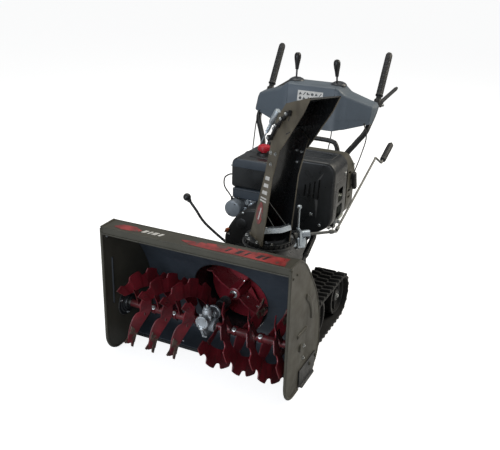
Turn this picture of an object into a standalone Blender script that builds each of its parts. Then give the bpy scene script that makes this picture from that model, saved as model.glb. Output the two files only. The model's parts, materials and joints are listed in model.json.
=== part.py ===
"""Two stage snowblower on rubber tracks: auger housing, impeller, discharge chute,
petrol engine, tracks, handlebars and console, as separate parts with real joints.

Frame while modelling: X = 0 is the middle of the machine and +X is the operator's left,
Y = 0 is the front edge of the auger housing and +Y runs back to the operator, Z = 0 is the
ground.  The empty "machine" shifts the whole machine so that its box is centred on the
origin in X and Y.
All lengths are in metres.
"""
import math
from math import cos, pi, radians, sin

import bmesh
import bpy
from mathutils import Matrix, Vector

# Driving dimensions
REAR_END = 1.6196          # back ends of the clutch levers
FRONT_END = -0.0200        # foremost reach of the auger flights
LEFT_END = 0.4429          # left corner of the deflector
RIGHT_END = -0.3924        # outer face of the right-hand skid shoe
HOUSING_WIDTH = 0.760      # over the side plates
PLATE = 0.004              # side plate thickness
SHEET = 0.003              # bent sheet thickness
GAP = 0.0003               # clearance between parts that touch

AUGER_Y, AUGER_Z = 0.135, 0.176
AUGER_RADIUS = 0.155
FLIGHT_INNER = 0.080
RIBBON_RATE = 0.128 / 180     # advance along the shaft for each degree of winding
# For each blade: x of its end at -42 degrees, the angles it covers, and whether it ends in a leg
RIGHT_BLADES = [(0.202, 138, -42, False), (0.1065, 138, -42, True), (0.011, 138, -14, True),
                (-0.0845, 138, 122, True)]
LEFT_BLADES = [(-0.014, 138, 32, True), (0.094, 138, -42, True), (0.197, 138, -42, False),
               (0.300, 46, -42, False)]
LEG_PATH = [(128, 0.118), (141, 0.090), (163, 0.056), (192, 0.060), (211, 0.092),
            (222, 0.126), (229, 0.152)]  # (degrees, radius) down the middle of a leg
LEG_HALF, LEG_RATE = 0.0160, 0.00063
AUGER_SHAFT_RADIUS = 0.0095
SLEEVE_RADIUS = 0.0140
SLEEVE_START, SLEEVE_END = 0.040, 0.350
GEARBOX_HALF = 0.036

IMPELLER_Z = 0.202
DRUM_RADIUS = 0.168
DRUM_BACK = 0.500
IMPELLER_RADIUS = 0.158
IMPELLER_SHAFT_RADIUS = 0.010

CHUTE_X, CHUTE_Y = 0.126, 0.400
NECK_RADIUS = 0.082
NECK_TOP = 0.442
CHUTE_YAW = radians(50)    # discharge turned this far from straight ahead
RING_LOW, RING_HIGH = 0.4510, 0.4630

BELT_INNER_X, BELT_OUTER_X = 0.205, 0.345
WHEEL_FRONT_Y, WHEEL_REAR_Y = 0.475, 0.722
WHEEL_Z = 0.106
BELT_RADIUS = 0.094
LUG_HEIGHT = 0.012
BELT_THICKNESS = 0.007

GRIP_LOW = Vector((0.275, 1.284, 0.873))
GRIP_TOP = Vector((0.275, 1.409, 1.069))
GRIP_RADIUS = 0.0160
GRIP_BORE = 0.0134
TUBE_RADIUS = 0.0127
CONSOLE_HALF = 0.294

FINISHES = {
    "black_paint": ((0.030, 0.029, 0.026), 0.35, 0.0),
    "housing_paint": ((0.060, 0.058, 0.048), 0.35, 0.0),
    "red_paint": ((0.200, 0.010, 0.018), 0.40, 0.0),
    "red_plastic": ((0.450, 0.015, 0.020), 0.40, 0.0),
    "zinc": ((0.560, 0.600, 0.640), 0.30, 1.0),
    "cast_aluminium": ((0.420, 0.430, 0.440), 0.45, 1.0),
    "steel": ((0.450, 0.450, 0.440), 0.35, 1.0),
    "black_plastic": ((0.022, 0.024, 0.027), 0.50, 0.0),
    "slate_plastic": ((0.062, 0.078, 0.092), 0.50, 0.0),
    "rubber": ((0.018, 0.018, 0.018), 0.80, 0.0),
}


# Small helpers ---------------------------------------------------------------

def clear_scene():
    for obj in list(bpy.data.objects):
        bpy.data.objects.remove(obj, do_unlink=True)


def add_empty(name, location, yaw=0.0, parent=None):
    empty = bpy.data.objects.new(name, None)
    bpy.context.collection.objects.link(empty)
    empty.location = location
    empty.rotation_euler = (0.0, 0.0, yaw)
    empty.parent = parent
    return empty


def paint(obj, finish):
    colour, roughness, metallic = FINISHES[finish]
    material = bpy.data.materials.new(obj.name + "_finish")
    material.use_nodes = True
    shader = material.node_tree.nodes["Principled BSDF"]
    shader.inputs["Base Color"].default_value = (*colour, 1.0)
    shader.inputs["Roughness"].default_value = roughness
    shader.inputs["Metallic"].default_value = metallic
    obj.data.materials.append(material)


def close_up(bm):
    """Face every face outward and weld points that coincide."""
    bmesh.ops.remove_doubles(bm, verts=bm.verts, dist=1e-6)
    bmesh.ops.recalc_face_normals(bm, faces=bm.faces)
    return bm


def add_part(name, bm, finish, parent, pivot=(0.0, 0.0, 0.0), smooth=False):
    """Turn a bmesh made in the parent's frame into an object whose origin is its pivot."""
    bmesh.ops.translate(bm, vec=-Vector(pivot), verts=bm.verts)
    mesh = bpy.data.meshes.new(name)
    bm.to_mesh(mesh)
    bm.free()
    if smooth:
        mesh.shade_smooth()
        mesh.set_sharp_from_angle(angle=radians(35))
    obj = bpy.data.objects.new(name, mesh)
    bpy.context.collection.objects.link(obj)
    obj.location = pivot
    obj.parent = parent
    paint(obj, finish)
    return obj


def combine(base, operation, bm):
    """Add a Boolean of base with the solid bm, which is made in the parent's frame."""
    mesh = bpy.data.meshes.new(f"{base.name}_{operation.lower()}")
    bm.to_mesh(mesh)
    bm.free()
    tool = bpy.data.objects.new(mesh.name, mesh)
    bpy.context.collection.objects.link(tool)
    tool.parent = base.parent
    tool.hide_render = True
    tool.display_type = "WIRE"
    modifier = base.modifiers.new(operation.title(), "BOOLEAN")
    modifier.operation = operation
    modifier.object = tool
    modifier.solver = "EXACT"


def fuse(base, *solids):
    for bm in solids:
        combine(base, "UNION", bm)


def cut(base, *solids):
    for bm in solids:
        combine(base, "DIFFERENCE", bm)


def mirrored(point, side):
    """The point on the operator's left (side 1) or right (side -1)."""
    return Vector((point[0] * side, point[1], point[2]))


def span(low, high, steps):
    return [low + (high - low) * i / steps for i in range(steps + 1)]


def arc(centre, radius, start, end, steps):
    """Points on a plane arc, with angles in degrees."""
    return [(centre[0] + radius * cos(radians(a)), centre[1] + radius * sin(radians(a)))
            for a in span(start, end, steps)]


def smooth_curve(points, per_span):
    """Catmull-Rom curve through the points, with per_span steps between two points."""
    points = [Vector(p) for p in points]
    ends = [2 * points[0] - points[1], *points, 2 * points[-1] - points[-2]]
    curve = []
    for a, b, c, d in zip(ends, ends[1:], ends[2:], ends[3:]):
        for i in range(per_span):
            t = i / per_span
            curve.append(0.5 * (2 * b + (c - a) * t + (2 * a - 5 * b + 4 * c - d) * t ** 2
                                + (3 * b - a - 3 * c + d) * t ** 3))
    return [*curve, points[-1]]


def offset_path(points, distance):
    """Shift an open plane path sideways (to its left for a positive distance)."""
    points = [Vector(p) for p in points]
    shifted = []
    for i, point in enumerate(points):
        before = points[max(i - 1, 0)]
        after = points[min(i + 1, len(points) - 1)]
        first = (point - before).normalized() if i else (after - point).normalized()
        second = (after - point).normalized() if i < len(points) - 1 else first
        normal = Vector((-(first + second).y, (first + second).x)).normalized()
        stretch = max(normal.dot(Vector((-first.y, first.x))), 0.5)
        shifted.append(point + normal * distance / stretch)
    return shifted


# Solids ----------------------------------------------------------------------

AXIS_FRAMES = {
    "x": Matrix(((0, 0, 1), (1, 0, 0), (0, 1, 0))),
    "y": Matrix(((1, 0, 0), (0, 0, 1), (0, 1, 0))),
    "z": Matrix(((1, 0, 0), (0, 1, 0), (0, 0, 1))),
}


def prism(outline, axis, low, high):
    """Extrude a plane outline along x, y or z; the outline holds the other two, in order."""
    frame = AXIS_FRAMES[axis]
    bm = bmesh.new()
    verts = [bm.verts.new(frame @ Vector((p[0], p[1], low))) for p in outline]
    face = bm.faces.new(verts)
    extruded = bmesh.ops.extrude_face_region(bm, geom=[face])
    moved = [item for item in extruded["geom"] if isinstance(item, bmesh.types.BMVert)]
    bmesh.ops.translate(bm, vec=frame @ Vector((0, 0, high - low)), verts=moved)
    return close_up(bm)


def block(centre, size, bevel=0.0, segments=2):
    bm = bmesh.new()
    bmesh.ops.create_cube(bm, size=1.0)
    bmesh.ops.scale(bm, vec=size, verts=bm.verts)
    if bevel:
        bmesh.ops.bevel(bm, geom=bm.edges, offset=bevel, segments=segments, profile=0.5,
                        affect="EDGES")
    bmesh.ops.translate(bm, vec=centre, verts=bm.verts)
    return close_up(bm)


def place_along(bm, start, direction):
    """Move a solid made along +Z to point along a direction from a start, its Y side up."""
    turn = Vector(direction).to_track_quat("Z", "Y").to_matrix().to_4x4()
    bmesh.ops.transform(bm, matrix=Matrix.Translation(start) @ turn, verts=bm.verts)
    return bm


def turned(profile, start, direction, steps=24):
    """Spin (radius, height) points about an axis; a closed ring if no point is on the axis."""
    on_axis = profile[0][0] == 0 and profile[-1][0] == 0
    bm = bmesh.new()
    verts = [bm.verts.new((radius, 0, height)) for radius, height in profile]
    pairs = list(zip(verts, verts[1:]))
    if not on_axis:
        pairs.append((verts[-1], verts[0]))
    edges = [bm.edges.new(pair) for pair in pairs]
    bmesh.ops.spin(bm, geom=verts + edges, cent=(0, 0, 0), axis=(0, 0, 1), angle=2 * pi,
                   steps=steps, use_merge=True)
    close_up(bm)
    return place_along(bm, start, direction)


def rod(start, end, radius, steps=16):
    start, end = Vector(start), Vector(end)
    length = (end - start).length
    bm = bmesh.new()
    bmesh.ops.create_cone(bm, cap_ends=True, segments=steps, radius1=radius, radius2=radius,
                          depth=length)
    bmesh.ops.translate(bm, vec=(0, 0, length / 2), verts=bm.verts)
    return place_along(close_up(bm), start, end - start)


def tube_curve(name, points, radius, resolution=4):
    curve = bpy.data.curves.new(name, "CURVE")
    curve.dimensions = "3D"
    curve.bevel_depth = radius
    curve.bevel_resolution = resolution
    curve.use_fill_caps = True
    spline = curve.splines.new("POLY")
    spline.points.add(len(points) - 1)
    for target, point in zip(spline.points, points):
        target.co = (*point, 1.0)
    return bpy.data.objects.new(name, curve)


def add_tube(name, points, radius, finish, parent, pivot=(0, 0, 0), resolution=4):
    local = [Vector(p) - Vector(pivot) for p in points]
    obj = tube_curve(name, local, radius, resolution)
    bpy.context.collection.objects.link(obj)
    obj.location = pivot
    obj.parent = parent
    paint(obj, finish)
    return obj


def tube_solid(points, radius, resolution=2):
    """The same bent tube as a bmesh, to be joined with other solids."""
    guide = tube_curve("tube_guide", points, radius, resolution)
    bpy.context.collection.objects.link(guide)
    graph = bpy.context.evaluated_depsgraph_get()
    mesh = bpy.data.meshes.new_from_object(guide.evaluated_get(graph))
    bm = bmesh.new()
    bm.from_mesh(mesh)
    bpy.data.objects.remove(guide, do_unlink=True)
    bpy.data.meshes.remove(mesh)
    return close_up(bm)


def channel(outline, half_width, taper, foot):
    """Prism along x about the chute's middle, drawn in by taper per metre above its foot."""
    bm = prism(outline, "x", -half_width, half_width)
    for vert in bm.verts:
        vert.co.x = CHUTE_MIDDLE + vert.co.x * (1.0 - taper * max(vert.co.z - foot, 0.0))
    return bm


# Auger housing -----------------------------------------------------------------

def wrapper_path():
    """Outer side of the bent housing sheet, from the front lip over the back to the floor."""
    curved = smooth_curve([(0.085, 0.546), (0.150, 0.500), (0.218, 0.420), (0.275, 0.340),
                           (0.318, 0.245), (0.334, 0.160), (0.333, 0.080), (0.308, 0.030),
                           (0.262, 0.0155)], 2)
    return [Vector((0.002, 0.519)), Vector((0.002, 0.546)), *curved, Vector((0.178, 0.0155))]


def wrapper_outline(outer, inner):
    """Closed outline between two offsets of the wrapper path."""
    path = wrapper_path()
    return offset_path(path, outer) + offset_path(path, inner)[::-1]


def housing_inside():
    """Everything in front of the wrapper's inner face."""
    inner = offset_path(wrapper_path(), -SHEET)[2:]
    outline = [Vector((-0.1, 0.6)), Vector((0.05, 0.6)), *inner, Vector((0.145, -0.1)),
               Vector((-0.1, -0.1))]
    return prism(outline, "x", -0.3, 0.3)


def build_housing(root):
    half = HOUSING_WIDTH / 2 - PLATE - GAP
    housing = add_part("auger_housing", prism(wrapper_outline(0, -SHEET), "x", -half, half),
                       "housing_paint", root)
    cut(housing, rod((0, 0.2, IMPELLER_Z), (0, 0.4, IMPELLER_Z), DRUM_RADIUS + GAP, 36))
    corner = [(x, z) for x, z in arc((0.085, 0.085), 0.085, 270, 180, 6)]
    back = offset_path(wrapper_path(), 0.002)[2:-1]
    outline = [Vector(p) for p in corner] + [Vector((0, 0.5185)), Vector((0, 0.548)), *back]
    outline[-1] = Vector((0.262, 0.0))
    for side, name in ((1, "left"), (-1, "right")):
        inner, outer = side * (HOUSING_WIDTH / 2 - PLATE), side * HOUSING_WIDTH / 2
        low, high = min(inner, outer), max(inner, outer)
        plate = add_part(f"side_plate_{name}", prism(outline, "x", low, high),
                         "housing_paint", root)
        cut(plate, rod((inner - side * 0.01, AUGER_Y, AUGER_Z),
                       (outer + side * 0.01, AUGER_Y, AUGER_Z), AUGER_SHAFT_RADIUS + 0.001, 16))
        build_skid(root, side, name)
        build_bearing(root, side, name)
    add_part("scraper_bar", prism([(0.172, 0.004), (0.215, 0.004), (0.215, 0.0120),
                                   (0.180, 0.0120)], "x", -half, half), "black_paint", root)


def build_skid(root, side, name):
    face = side * (HOUSING_WIDTH / 2 + GAP)
    outline = [(face, 0.082), (face, 0.0), (face + side * 0.012, 0.0),
               (face + side * 0.012, 0.005), (face + side * 0.005, 0.009),
               (face + side * 0.005, 0.082)]
    skid = add_part(f"skid_shoe_{name}", prism(outline, "y", 0.130, 0.290), "black_paint", root)
    for y, tilt in ((0.130, -1), (0.290, 1)):
        corner = block((face + side * 0.02, y, 0.0), (0.06, 0.030, 0.030))
        turn = Matrix.Rotation(radians(35 * tilt), 3, "X")
        bmesh.ops.rotate(corner, cent=(face, y, 0.0), matrix=turn, verts=corner.verts)
        cut(skid, corner)


def build_bearing(root, side, name):
    wall = HOUSING_WIDTH / 2 - PLATE - GAP
    profile = [(AUGER_SHAFT_RADIUS + 0.0006, 0), (0.052, 0), (0.052, 0.004), (0.032, 0.006),
               (0.026, 0.018), (AUGER_SHAFT_RADIUS + 0.0006, 0.018)]
    bearing = turned(profile, (side * wall, AUGER_Y, AUGER_Z), (-side, 0, 0), 18)
    add_part(f"auger_bearing_{name}", bearing, "black_paint", root, smooth=True)


# Auger -------------------------------------------------------------------------

def strip(stations, side):
    """Flat band standing across the shaft; stations hold x and two edges as (angle, radius)."""
    half_thick = 0.0022
    bm = bmesh.new()
    loops = []
    for x, inner, outer in stations:
        loop = []
        for (angle, radius), shift in ((inner, -1), (outer, -1), (outer, 1), (inner, 1)):
            loop.append(bm.verts.new((side * (x + shift * half_thick),
                                      AUGER_Y + radius * cos(angle),
                                      AUGER_Z + radius * sin(angle))))
        loops.append(loop)
    for first, second in zip(loops, loops[1:]):
        for j in range(4):
            bm.faces.new((first[j], first[(j + 1) % 4], second[(j + 1) % 4], second[j]))
    bm.faces.new(loops[0])
    bm.faces.new(loops[-1])
    return close_up(bm)


def ribbon(end_x, side, base, first, last):
    """Serrated ribbon wound part of a turn around the shaft."""
    steps = 2 * round(abs(first - last) / 17)
    stations = []
    for i in range(steps + 1):
        turn = first + (last - first) * i / steps
        angle = radians(base + turn)
        outer = AUGER_RADIUS - (0.0 if i % 2 else 0.013)
        stations.append((end_x + RIBBON_RATE * (turn + 42), (angle, FLIGHT_INNER),
                         (angle, outer)))
    return strip(stations, side)


def leg(end_x, side, base):
    """Band that carries a ribbon on past the front of the sleeve to a digging tip."""
    path = [Vector((radius * cos(radians(angle)), radius * sin(radians(angle)), 0))
            for angle, radius in LEG_PATH]
    path = [Vector(p[:2]) for p in smooth_curve(path, 2)]
    stations = []
    for i, point in enumerate(path):
        ahead = path[min(i + 1, len(path) - 1)] - path[max(i - 1, 0)]
        across = Vector((-ahead.y, ahead.x)).normalized() * LEG_HALF
        edges = []
        for edge in (point + across, point - across):
            edges.append((radians(base) + math.atan2(edge.y, edge.x), edge.length))
        turn = math.degrees(math.atan2(point.y, point.x)) % 360
        stations.append((leg_x(end_x, turn), *edges))
    return strip(stations, side)


def leg_x(end_x, turn):
    return end_x + RIBBON_RATE * (LEG_PATH[0][0] + 42) + LEG_RATE * (turn - LEG_PATH[0][0])


def spoke(x, side, angle, reach):
    """Flat arm from the sleeve out to a radius."""
    stations = []
    for radius, half in ((SLEEVE_RADIUS - 0.003, 0.011), (reach, 0.015)):
        turn = math.atan2(half, radius)
        length = math.hypot(half, radius)
        stations.append((x, (radians(angle) - turn, length), (radians(angle) + turn, length)))
    return strip(stations, side)


def build_auger(root):
    centre = (0, AUGER_Y, AUGER_Z)
    pivot = add_empty("auger_axis", centre, parent=root)
    half = HOUSING_WIDTH / 2 + 0.004
    shaft = add_part("auger_shaft", rod((-half, 0, 0), (half, 0, 0), AUGER_SHAFT_RADIUS, 16),
                     "steel", pivot, smooth=True)
    fuse(shaft, rod((-0.011, 0, 0), (0.011, 0, 0), 0.026, 24))
    for side, name in ((1, "left"), (-1, "right")):
        length = SLEEVE_END - SLEEVE_START
        sleeve = turned([(AUGER_SHAFT_RADIUS + GAP, 0), (SLEEVE_RADIUS, 0),
                         (SLEEVE_RADIUS, length), (AUGER_SHAFT_RADIUS + GAP, length)],
                        (side * SLEEVE_START, AUGER_Y, AUGER_Z), (side, 0, 0), 16)
        auger = add_part(f"auger_{name}", sleeve, "red_paint", root, pivot=centre, smooth=True)
        auger.parent = pivot
        auger.location = (0, 0, 0)
        base = 154 if side > 0 else 0
        for end_x, first, last, legged in LEFT_BLADES if side > 0 else RIGHT_BLADES:
            solids = [ribbon(end_x, side, base, first, last)]
            if legged:
                solids += [leg(end_x, side, base),
                           spoke(leg_x(end_x, 170), side, base + 170, 0.050)]
            for angle in (first - 30, last + 14):
                place = end_x + RIBBON_RATE * (angle + 42) + 0.0012
                if first - last > 80 and SLEEVE_START < place < SLEEVE_END:
                    solids.append(spoke(place, side, base + angle, 0.090))
            for solid in solids:
                bmesh.ops.translate(solid, vec=-pivot.location, verts=solid.verts)
                fuse(auger, solid)


def build_gearbox(root):
    axis = Vector((0, AUGER_Y, AUGER_Z))
    profile = [(0, -GEARBOX_HALF), (0.030, -GEARBOX_HALF), (0.044, -0.022),
               (0.044, 0.022), (0.030, GEARBOX_HALF), (0, GEARBOX_HALF)]
    gearbox = add_part("auger_gearbox", turned(profile, axis, (1, 0, 0), 20),
                       "cast_aluminium", root, smooth=True)
    worm = Vector((0, AUGER_Y, IMPELLER_Z))
    fuse(gearbox,
         rod(worm - Vector((0, 0.052, 0)), worm + Vector((0, 0.150, 0)), 0.0190, 16),
         rod(worm - Vector((0, 0.058, 0)), worm - Vector((0, 0.040, 0)), 0.0330, 16),
         block((0, AUGER_Y - 0.004, AUGER_Z + 0.054), (0.026, 0.060, 0.076), 0.004, 1))
    cut(gearbox,
        rod(axis - Vector((0.06, 0, 0)), axis + Vector((0.06, 0, 0)),
            AUGER_SHAFT_RADIUS + 0.0008, 16),
        rod(axis - Vector((0.013, 0, 0)), axis + Vector((0.013, 0, 0)), 0.0275, 20),
        rod(worm - Vector((0, 0.040, 0)), worm + Vector((0, 0.16, 0)), 0.0112, 16))


# Impeller and drum ---------------------------------------------------------------

def build_impeller(root):
    pivot = (0, 0.400, IMPELLER_Z)
    hub = turned([(0, 0.352), (0.026, 0.352), (0.030, 0.365), (0.030, 0.470), (0, 0.470)],
                 (0, 0, IMPELLER_Z), (0, 1, 0), 20)
    impeller = add_part("impeller", hub, "red_paint", root, pivot=pivot, smooth=True)
    blade_outline = [(0.024, -0.0025), (0.128, -0.0025), (0.154, 0.018), (0.151, 0.022),
                     (0.126, 0.0025), (0.024, 0.0025)]
    for quarter in range(4):
        blade = prism(blade_outline, "y", 0.356, 0.462)
        turn = Matrix.Rotation(radians(35 + 90 * quarter), 3, "Y")
        bmesh.ops.rotate(blade, cent=(0, 0, 0), matrix=turn, verts=blade.verts)
        bmesh.ops.translate(blade, vec=(0, 0, IMPELLER_Z), verts=blade.verts)
        fuse(impeller, blade)
    fuse(impeller, rod((0, 0.454, IMPELLER_Z), (0, 0.457, IMPELLER_Z), 0.150, 32),
         rod((0, 0.200, IMPELLER_Z), (0, 0.590, IMPELLER_Z), IMPELLER_SHAFT_RADIUS, 16))
    pulley = [(IMPELLER_SHAFT_RADIUS + GAP, 0.548), (0.070, 0.548), (0.062, 0.556),
              (0.062, 0.560), (0.070, 0.568), (IMPELLER_SHAFT_RADIUS + GAP, 0.568)]
    add_part("auger_pulley", turned(pulley, (0, 0, IMPELLER_Z), (0, 1, 0), 28),
             "steel", root, pivot=pivot, smooth=True)


def build_drum(root):
    axis = Vector((0, 0, IMPELLER_Z))
    neck = Vector((CHUTE_X, CHUTE_Y, 0))
    drum = add_part("impeller_drum",
                    rod(axis + Vector((0, 0.24, 0)), axis + Vector((0, DRUM_BACK, 0)),
                        DRUM_RADIUS, 36), "black_paint", root, smooth=True)
    up = Vector((0, 0, 1))
    fuse(drum, rod(neck + 0.205 * up, neck + NECK_TOP * up, NECK_RADIUS, 28),
         rod(neck + (NECK_TOP - 0.006) * up, neck + (NECK_TOP + 0.0085) * up, 0.100, 28))
    cut(drum,
        rod(axis + Vector((0, 0.20, 0)), axis + Vector((0, DRUM_BACK - SHEET, 0)),
            DRUM_RADIUS - SHEET, 36),
        rod(neck + 0.210 * up, neck + 0.5 * up, NECK_RADIUS - SHEET, 28),
        rod(axis + Vector((0, 0.48, 0)), axis + Vector((0, 0.52, 0)),
            IMPELLER_SHAFT_RADIUS + 0.001, 16),
        housing_inside())


# Chute ---------------------------------------------------------------------------

def gear_outline(teeth, root_radius, tip_radius):
    points = []
    for tooth in range(teeth):
        for share, radius in ((0.0, root_radius), (0.3, root_radius), (0.45, tip_radius),
                              (0.85, tip_radius)):
            angle = 2 * pi * (tooth + share) / teeth
            points.append((radius * cos(angle), radius * sin(angle)))
    return points


CHUTE_FRONT = -1.0    # the chute is drawn with its discharge toward its own -Y


def side_view(points):
    """Points given as (forward reach, height) in the chute's own YZ plane."""
    return [(CHUTE_FRONT * forward, height) for forward, height in points]


CHUTE_BACK = [(-0.036, RING_HIGH + GAP), (0.010, 0.590), (0.064, 0.733), (0.104, 0.870),
              (0.126, 0.925)]
CHUTE_OPEN = [(0.196, 0.905), (0.176, 0.868), (0.128, 0.750), (0.102, 0.600),
              (0.076, RING_HIGH + GAP)]
HINGE_REACH, HINGE_HEIGHT = 0.134, 0.934
CHUTE_MIDDLE = -0.009      # the channel stands a little to one side of its ring
CHUTE_HALF = 0.0600
CHUTE_TAPER = 0.30


def build_chute(root):
    base = add_empty("chute_axis", (CHUTE_X, CHUTE_Y, 0), yaw=CHUTE_YAW, parent=root)
    foot = RING_HIGH
    chute = add_part("chute", channel(side_view(CHUTE_BACK + CHUTE_OPEN), CHUTE_HALF,
                                      CHUTE_TAPER, foot), "black_paint", base)
    inside = [(reach + SHEET * 1.1, height) for reach, height in CHUTE_BACK]
    inside = [(inside[0][0] - 0.01, foot - 0.03), *inside, (0.15, 0.98), (0.30, 0.98),
              (0.30, foot - 0.03)]
    cut(chute, channel(side_view(inside), CHUTE_HALF - SHEET, CHUTE_TAPER, foot))
    gear = prism(gear_outline(30, 0.0935, 0.0985), "z", RING_LOW, RING_HIGH)
    ring_gear = add_part("chute_gear", gear, "black_plastic", base)
    cut(ring_gear, rod((0, 0, RING_LOW - 0.01), (0, 0, RING_HIGH + 0.01), 0.0735, 28))
    build_brace(base)
    build_deflector(base)
    damper_top = Vector((-0.060, -0.150, 1.004))
    damper_low = Vector((-0.060, -0.012, 0.842))
    along = (damper_low - damper_top).normalized()
    damper = turned([(0, 0), (0.0085, 0), (0.0110, 0.006), (0.0110, 0.072), (0.0050, 0.078),
                     (0.0050, 0.120), (0.0022, 0.124), (0.0022, 0.205), (0, 0.205)],
                    damper_top, along, 14)
    add_part("deflector_spring", damper, "zinc", base, smooth=True)


def build_brace(base):
    """Zinc tie plate across the open front of the chute's foot."""
    half = CHUTE_HALF - SHEET - 0.0025
    outline = [(-half, -0.084), (-half, -0.070), (0.010, -0.082), (half, -0.070),
               (half, -0.084), (0.010, -0.100)]
    brace = prism([(x + CHUTE_MIDDLE, y) for x, y in outline], "z", 0.516, 0.530)
    add_part("chute_brace", brace, "zinc", base)


def build_deflector(base):
    hinge = (CHUTE_MIDDLE, CHUTE_FRONT * HINGE_REACH, HINGE_HEIGHT)
    half = CHUTE_HALF * (1 - CHUTE_TAPER * (0.866 - RING_HIGH)) + 0.0034
    shape = [(0.106, 0.905), (0.109, 0.880), (0.180, 0.866), (0.259, 0.952), (0.332, 1.030),
             (0.374, 1.090), (0.214, 1.040), (0.160, 0.985)]
    inside = [(HINGE_REACH + 0.0040, HINGE_HEIGHT - 0.0030), (0.163, 0.982), (0.216, 1.0362),
              (0.420, 1.100), (0.420, 0.820), (0.050, 0.820), (0.050, HINGE_HEIGHT - 0.0030)]
    deflector = add_part("deflector", channel(side_view(shape), half, 0, 0),
                         "black_paint", base, pivot=hinge)
    cut(deflector, channel(side_view(inside), half - 0.0026, 0, 0))


def build_chute_drive(root):
    """Bracket, pinion shaft, crank rod and grip that turn the chute."""
    outward = Vector((0.77, 0.638, 0.040)).normalized()
    start = Vector((CHUTE_X, CHUTE_Y, 0.4560)) + 0.1025 * outward
    end = start + 0.160 * outward
    slot = block((0, -0.006, 0.022), (0.046, 0.064, 0.012), 0.002, 1)
    bracket = add_part("pinion_bracket", place_along(slot, start, outward), "zinc", root)
    foot = start + 0.022 * outward
    across = Vector((-outward.y, outward.x, 0)).normalized()
    post = foot + 0.017 * across + Vector((0, 0, 0.010))
    shelf = block((0, -0.0335, 0.0045), (0.030, 0.018, 0.046), 0.002, 1)
    fuse(bracket, place_along(shelf, start, outward),
         rod(post, post + Vector((0, 0, 0.104)), 0.0040, 10),
         rod(post + Vector((0, 0, 0.100)), post + Vector((0, 0, 0.110)), 0.0085, 10))
    cut(bracket, rod(start, start + 0.05 * outward, 0.0068, 16))
    pinion_profile = [(0, 0), (0.0105, 0), (0.0125, 0.004), (0.0125, 0.012), (0.0060, 0.012),
                      (0.0060, 0.150), (0.0090, 0.150), (0.0090, 0.165), (0, 0.165)]
    add_part("pinion_shaft", turned(pinion_profile, start, outward, 16), "zinc", root,
             pivot=start, smooth=True)
    build_crank(root, end + 0.016 * outward)


def build_crank(root, joint):
    top = Vector((0.347, 1.060, 0.652))
    along = (top - joint).normalized()
    low = joint + 0.008 * along
    arm = Vector((0.0262, 0.0070, -0.0205))
    grip_end = top + arm + 0.158 * along
    path = [low, top - 0.012 * along, top, top + 0.5 * arm, top + arm,
            top + arm + 0.012 * along, grip_end]
    add_tube("crank_rod", path, 0.0048, "zinc", root, pivot=low, resolution=2)
    near = top + arm + 0.020 * along
    grip = turned([(0.0052, 0), (0.0110, 0), (0.0135, 0.004), (0.0135, 0.120),
                   (0.0110, 0.126), (0.0052, 0.126)], near, along, 16)
    add_part("crank_grip", grip, "rubber", root, pivot=near, smooth=True)


# Engine --------------------------------------------------------------------------

def rounded_outline(low, high, radii, steps=3):
    """Rectangle with its own corner radii, in the order of its four corners."""
    corners = ((low[0], low[1], 180), (high[0], low[1], 270), (high[0], high[1], 0),
               (low[0], high[1], 90))
    points = []
    for (x, y, start), radius in zip(corners, radii):
        centre = (x + radius * (1 if x == low[0] else -1), y + radius * (1 if y == low[1] else -1))
        points += arc(centre, radius, start, start + 90, steps)
    return points


def build_engine(root):
    block_outline = [(-0.110, 0.372), (0.190, 0.372), (0.215, 0.400), (0.230, 0.560),
                     (0.180, 0.640), (0.060, 0.640), (0.060, 0.500), (-0.110, 0.480)]
    engine = add_part("engine_block", prism(block_outline, "y", 0.690, 0.826),
                      "cast_aluminium", root)
    cut(engine, rod((0.010, 0.68, 0.452), (0.010, 0.86, 0.452), 0.0132, 16))
    crank = turned([(0, 0.545), (0.012, 0.545), (0.012, 0.548), (0.036, 0.548),
                    (0.030, 0.556), (0.030, 0.560), (0.036, 0.568), (0.012, 0.568),
                    (0.012, 0.838), (0, 0.838)], (0.010, 0, 0.452), (0, 1, 0), 20)
    add_part("engine_pulley", crank, "steel", root, pivot=(0.010, 0.6, 0.452), smooth=True)
    build_engine_covers(root)
    cap = turned([(0, 0), (0.014, 0), (0.014, 0.006), (0.0250, 0.008), (0.0260, 0.012),
                  (0.0260, 0.026), (0.0200, 0.031), (0, 0.031)], (-0.066, 0.752, 0.6935),
                 (0, 0, 1), 20)
    add_part("fuel_cap", cap, "red_plastic", root, pivot=(-0.066, 0.752, 0.6935), smooth=True)
    starter = turned([(0, 0.600), (0.0335, 0.600), (0.0375, 0.604), (0.0375, 0.684), (0, 0.684)],
                     (-0.1400, 0, 0.4645), (0, 1, 0), 24)
    add_part("starter_motor", starter, "cast_aluminium", root, smooth=True)
    lead = smooth_curve([(-0.153, 0.628, 0.503), (-0.162, 0.624, 0.520), (-0.192, 0.630, 0.552),
                         (-0.200, 0.646, 0.585), (-0.186, 0.672, 0.596),
                         (-0.1755, 0.690, 0.590)], 4)
    add_tube("starter_lead", lead, 0.0028, "rubber", root, resolution=2)


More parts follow.
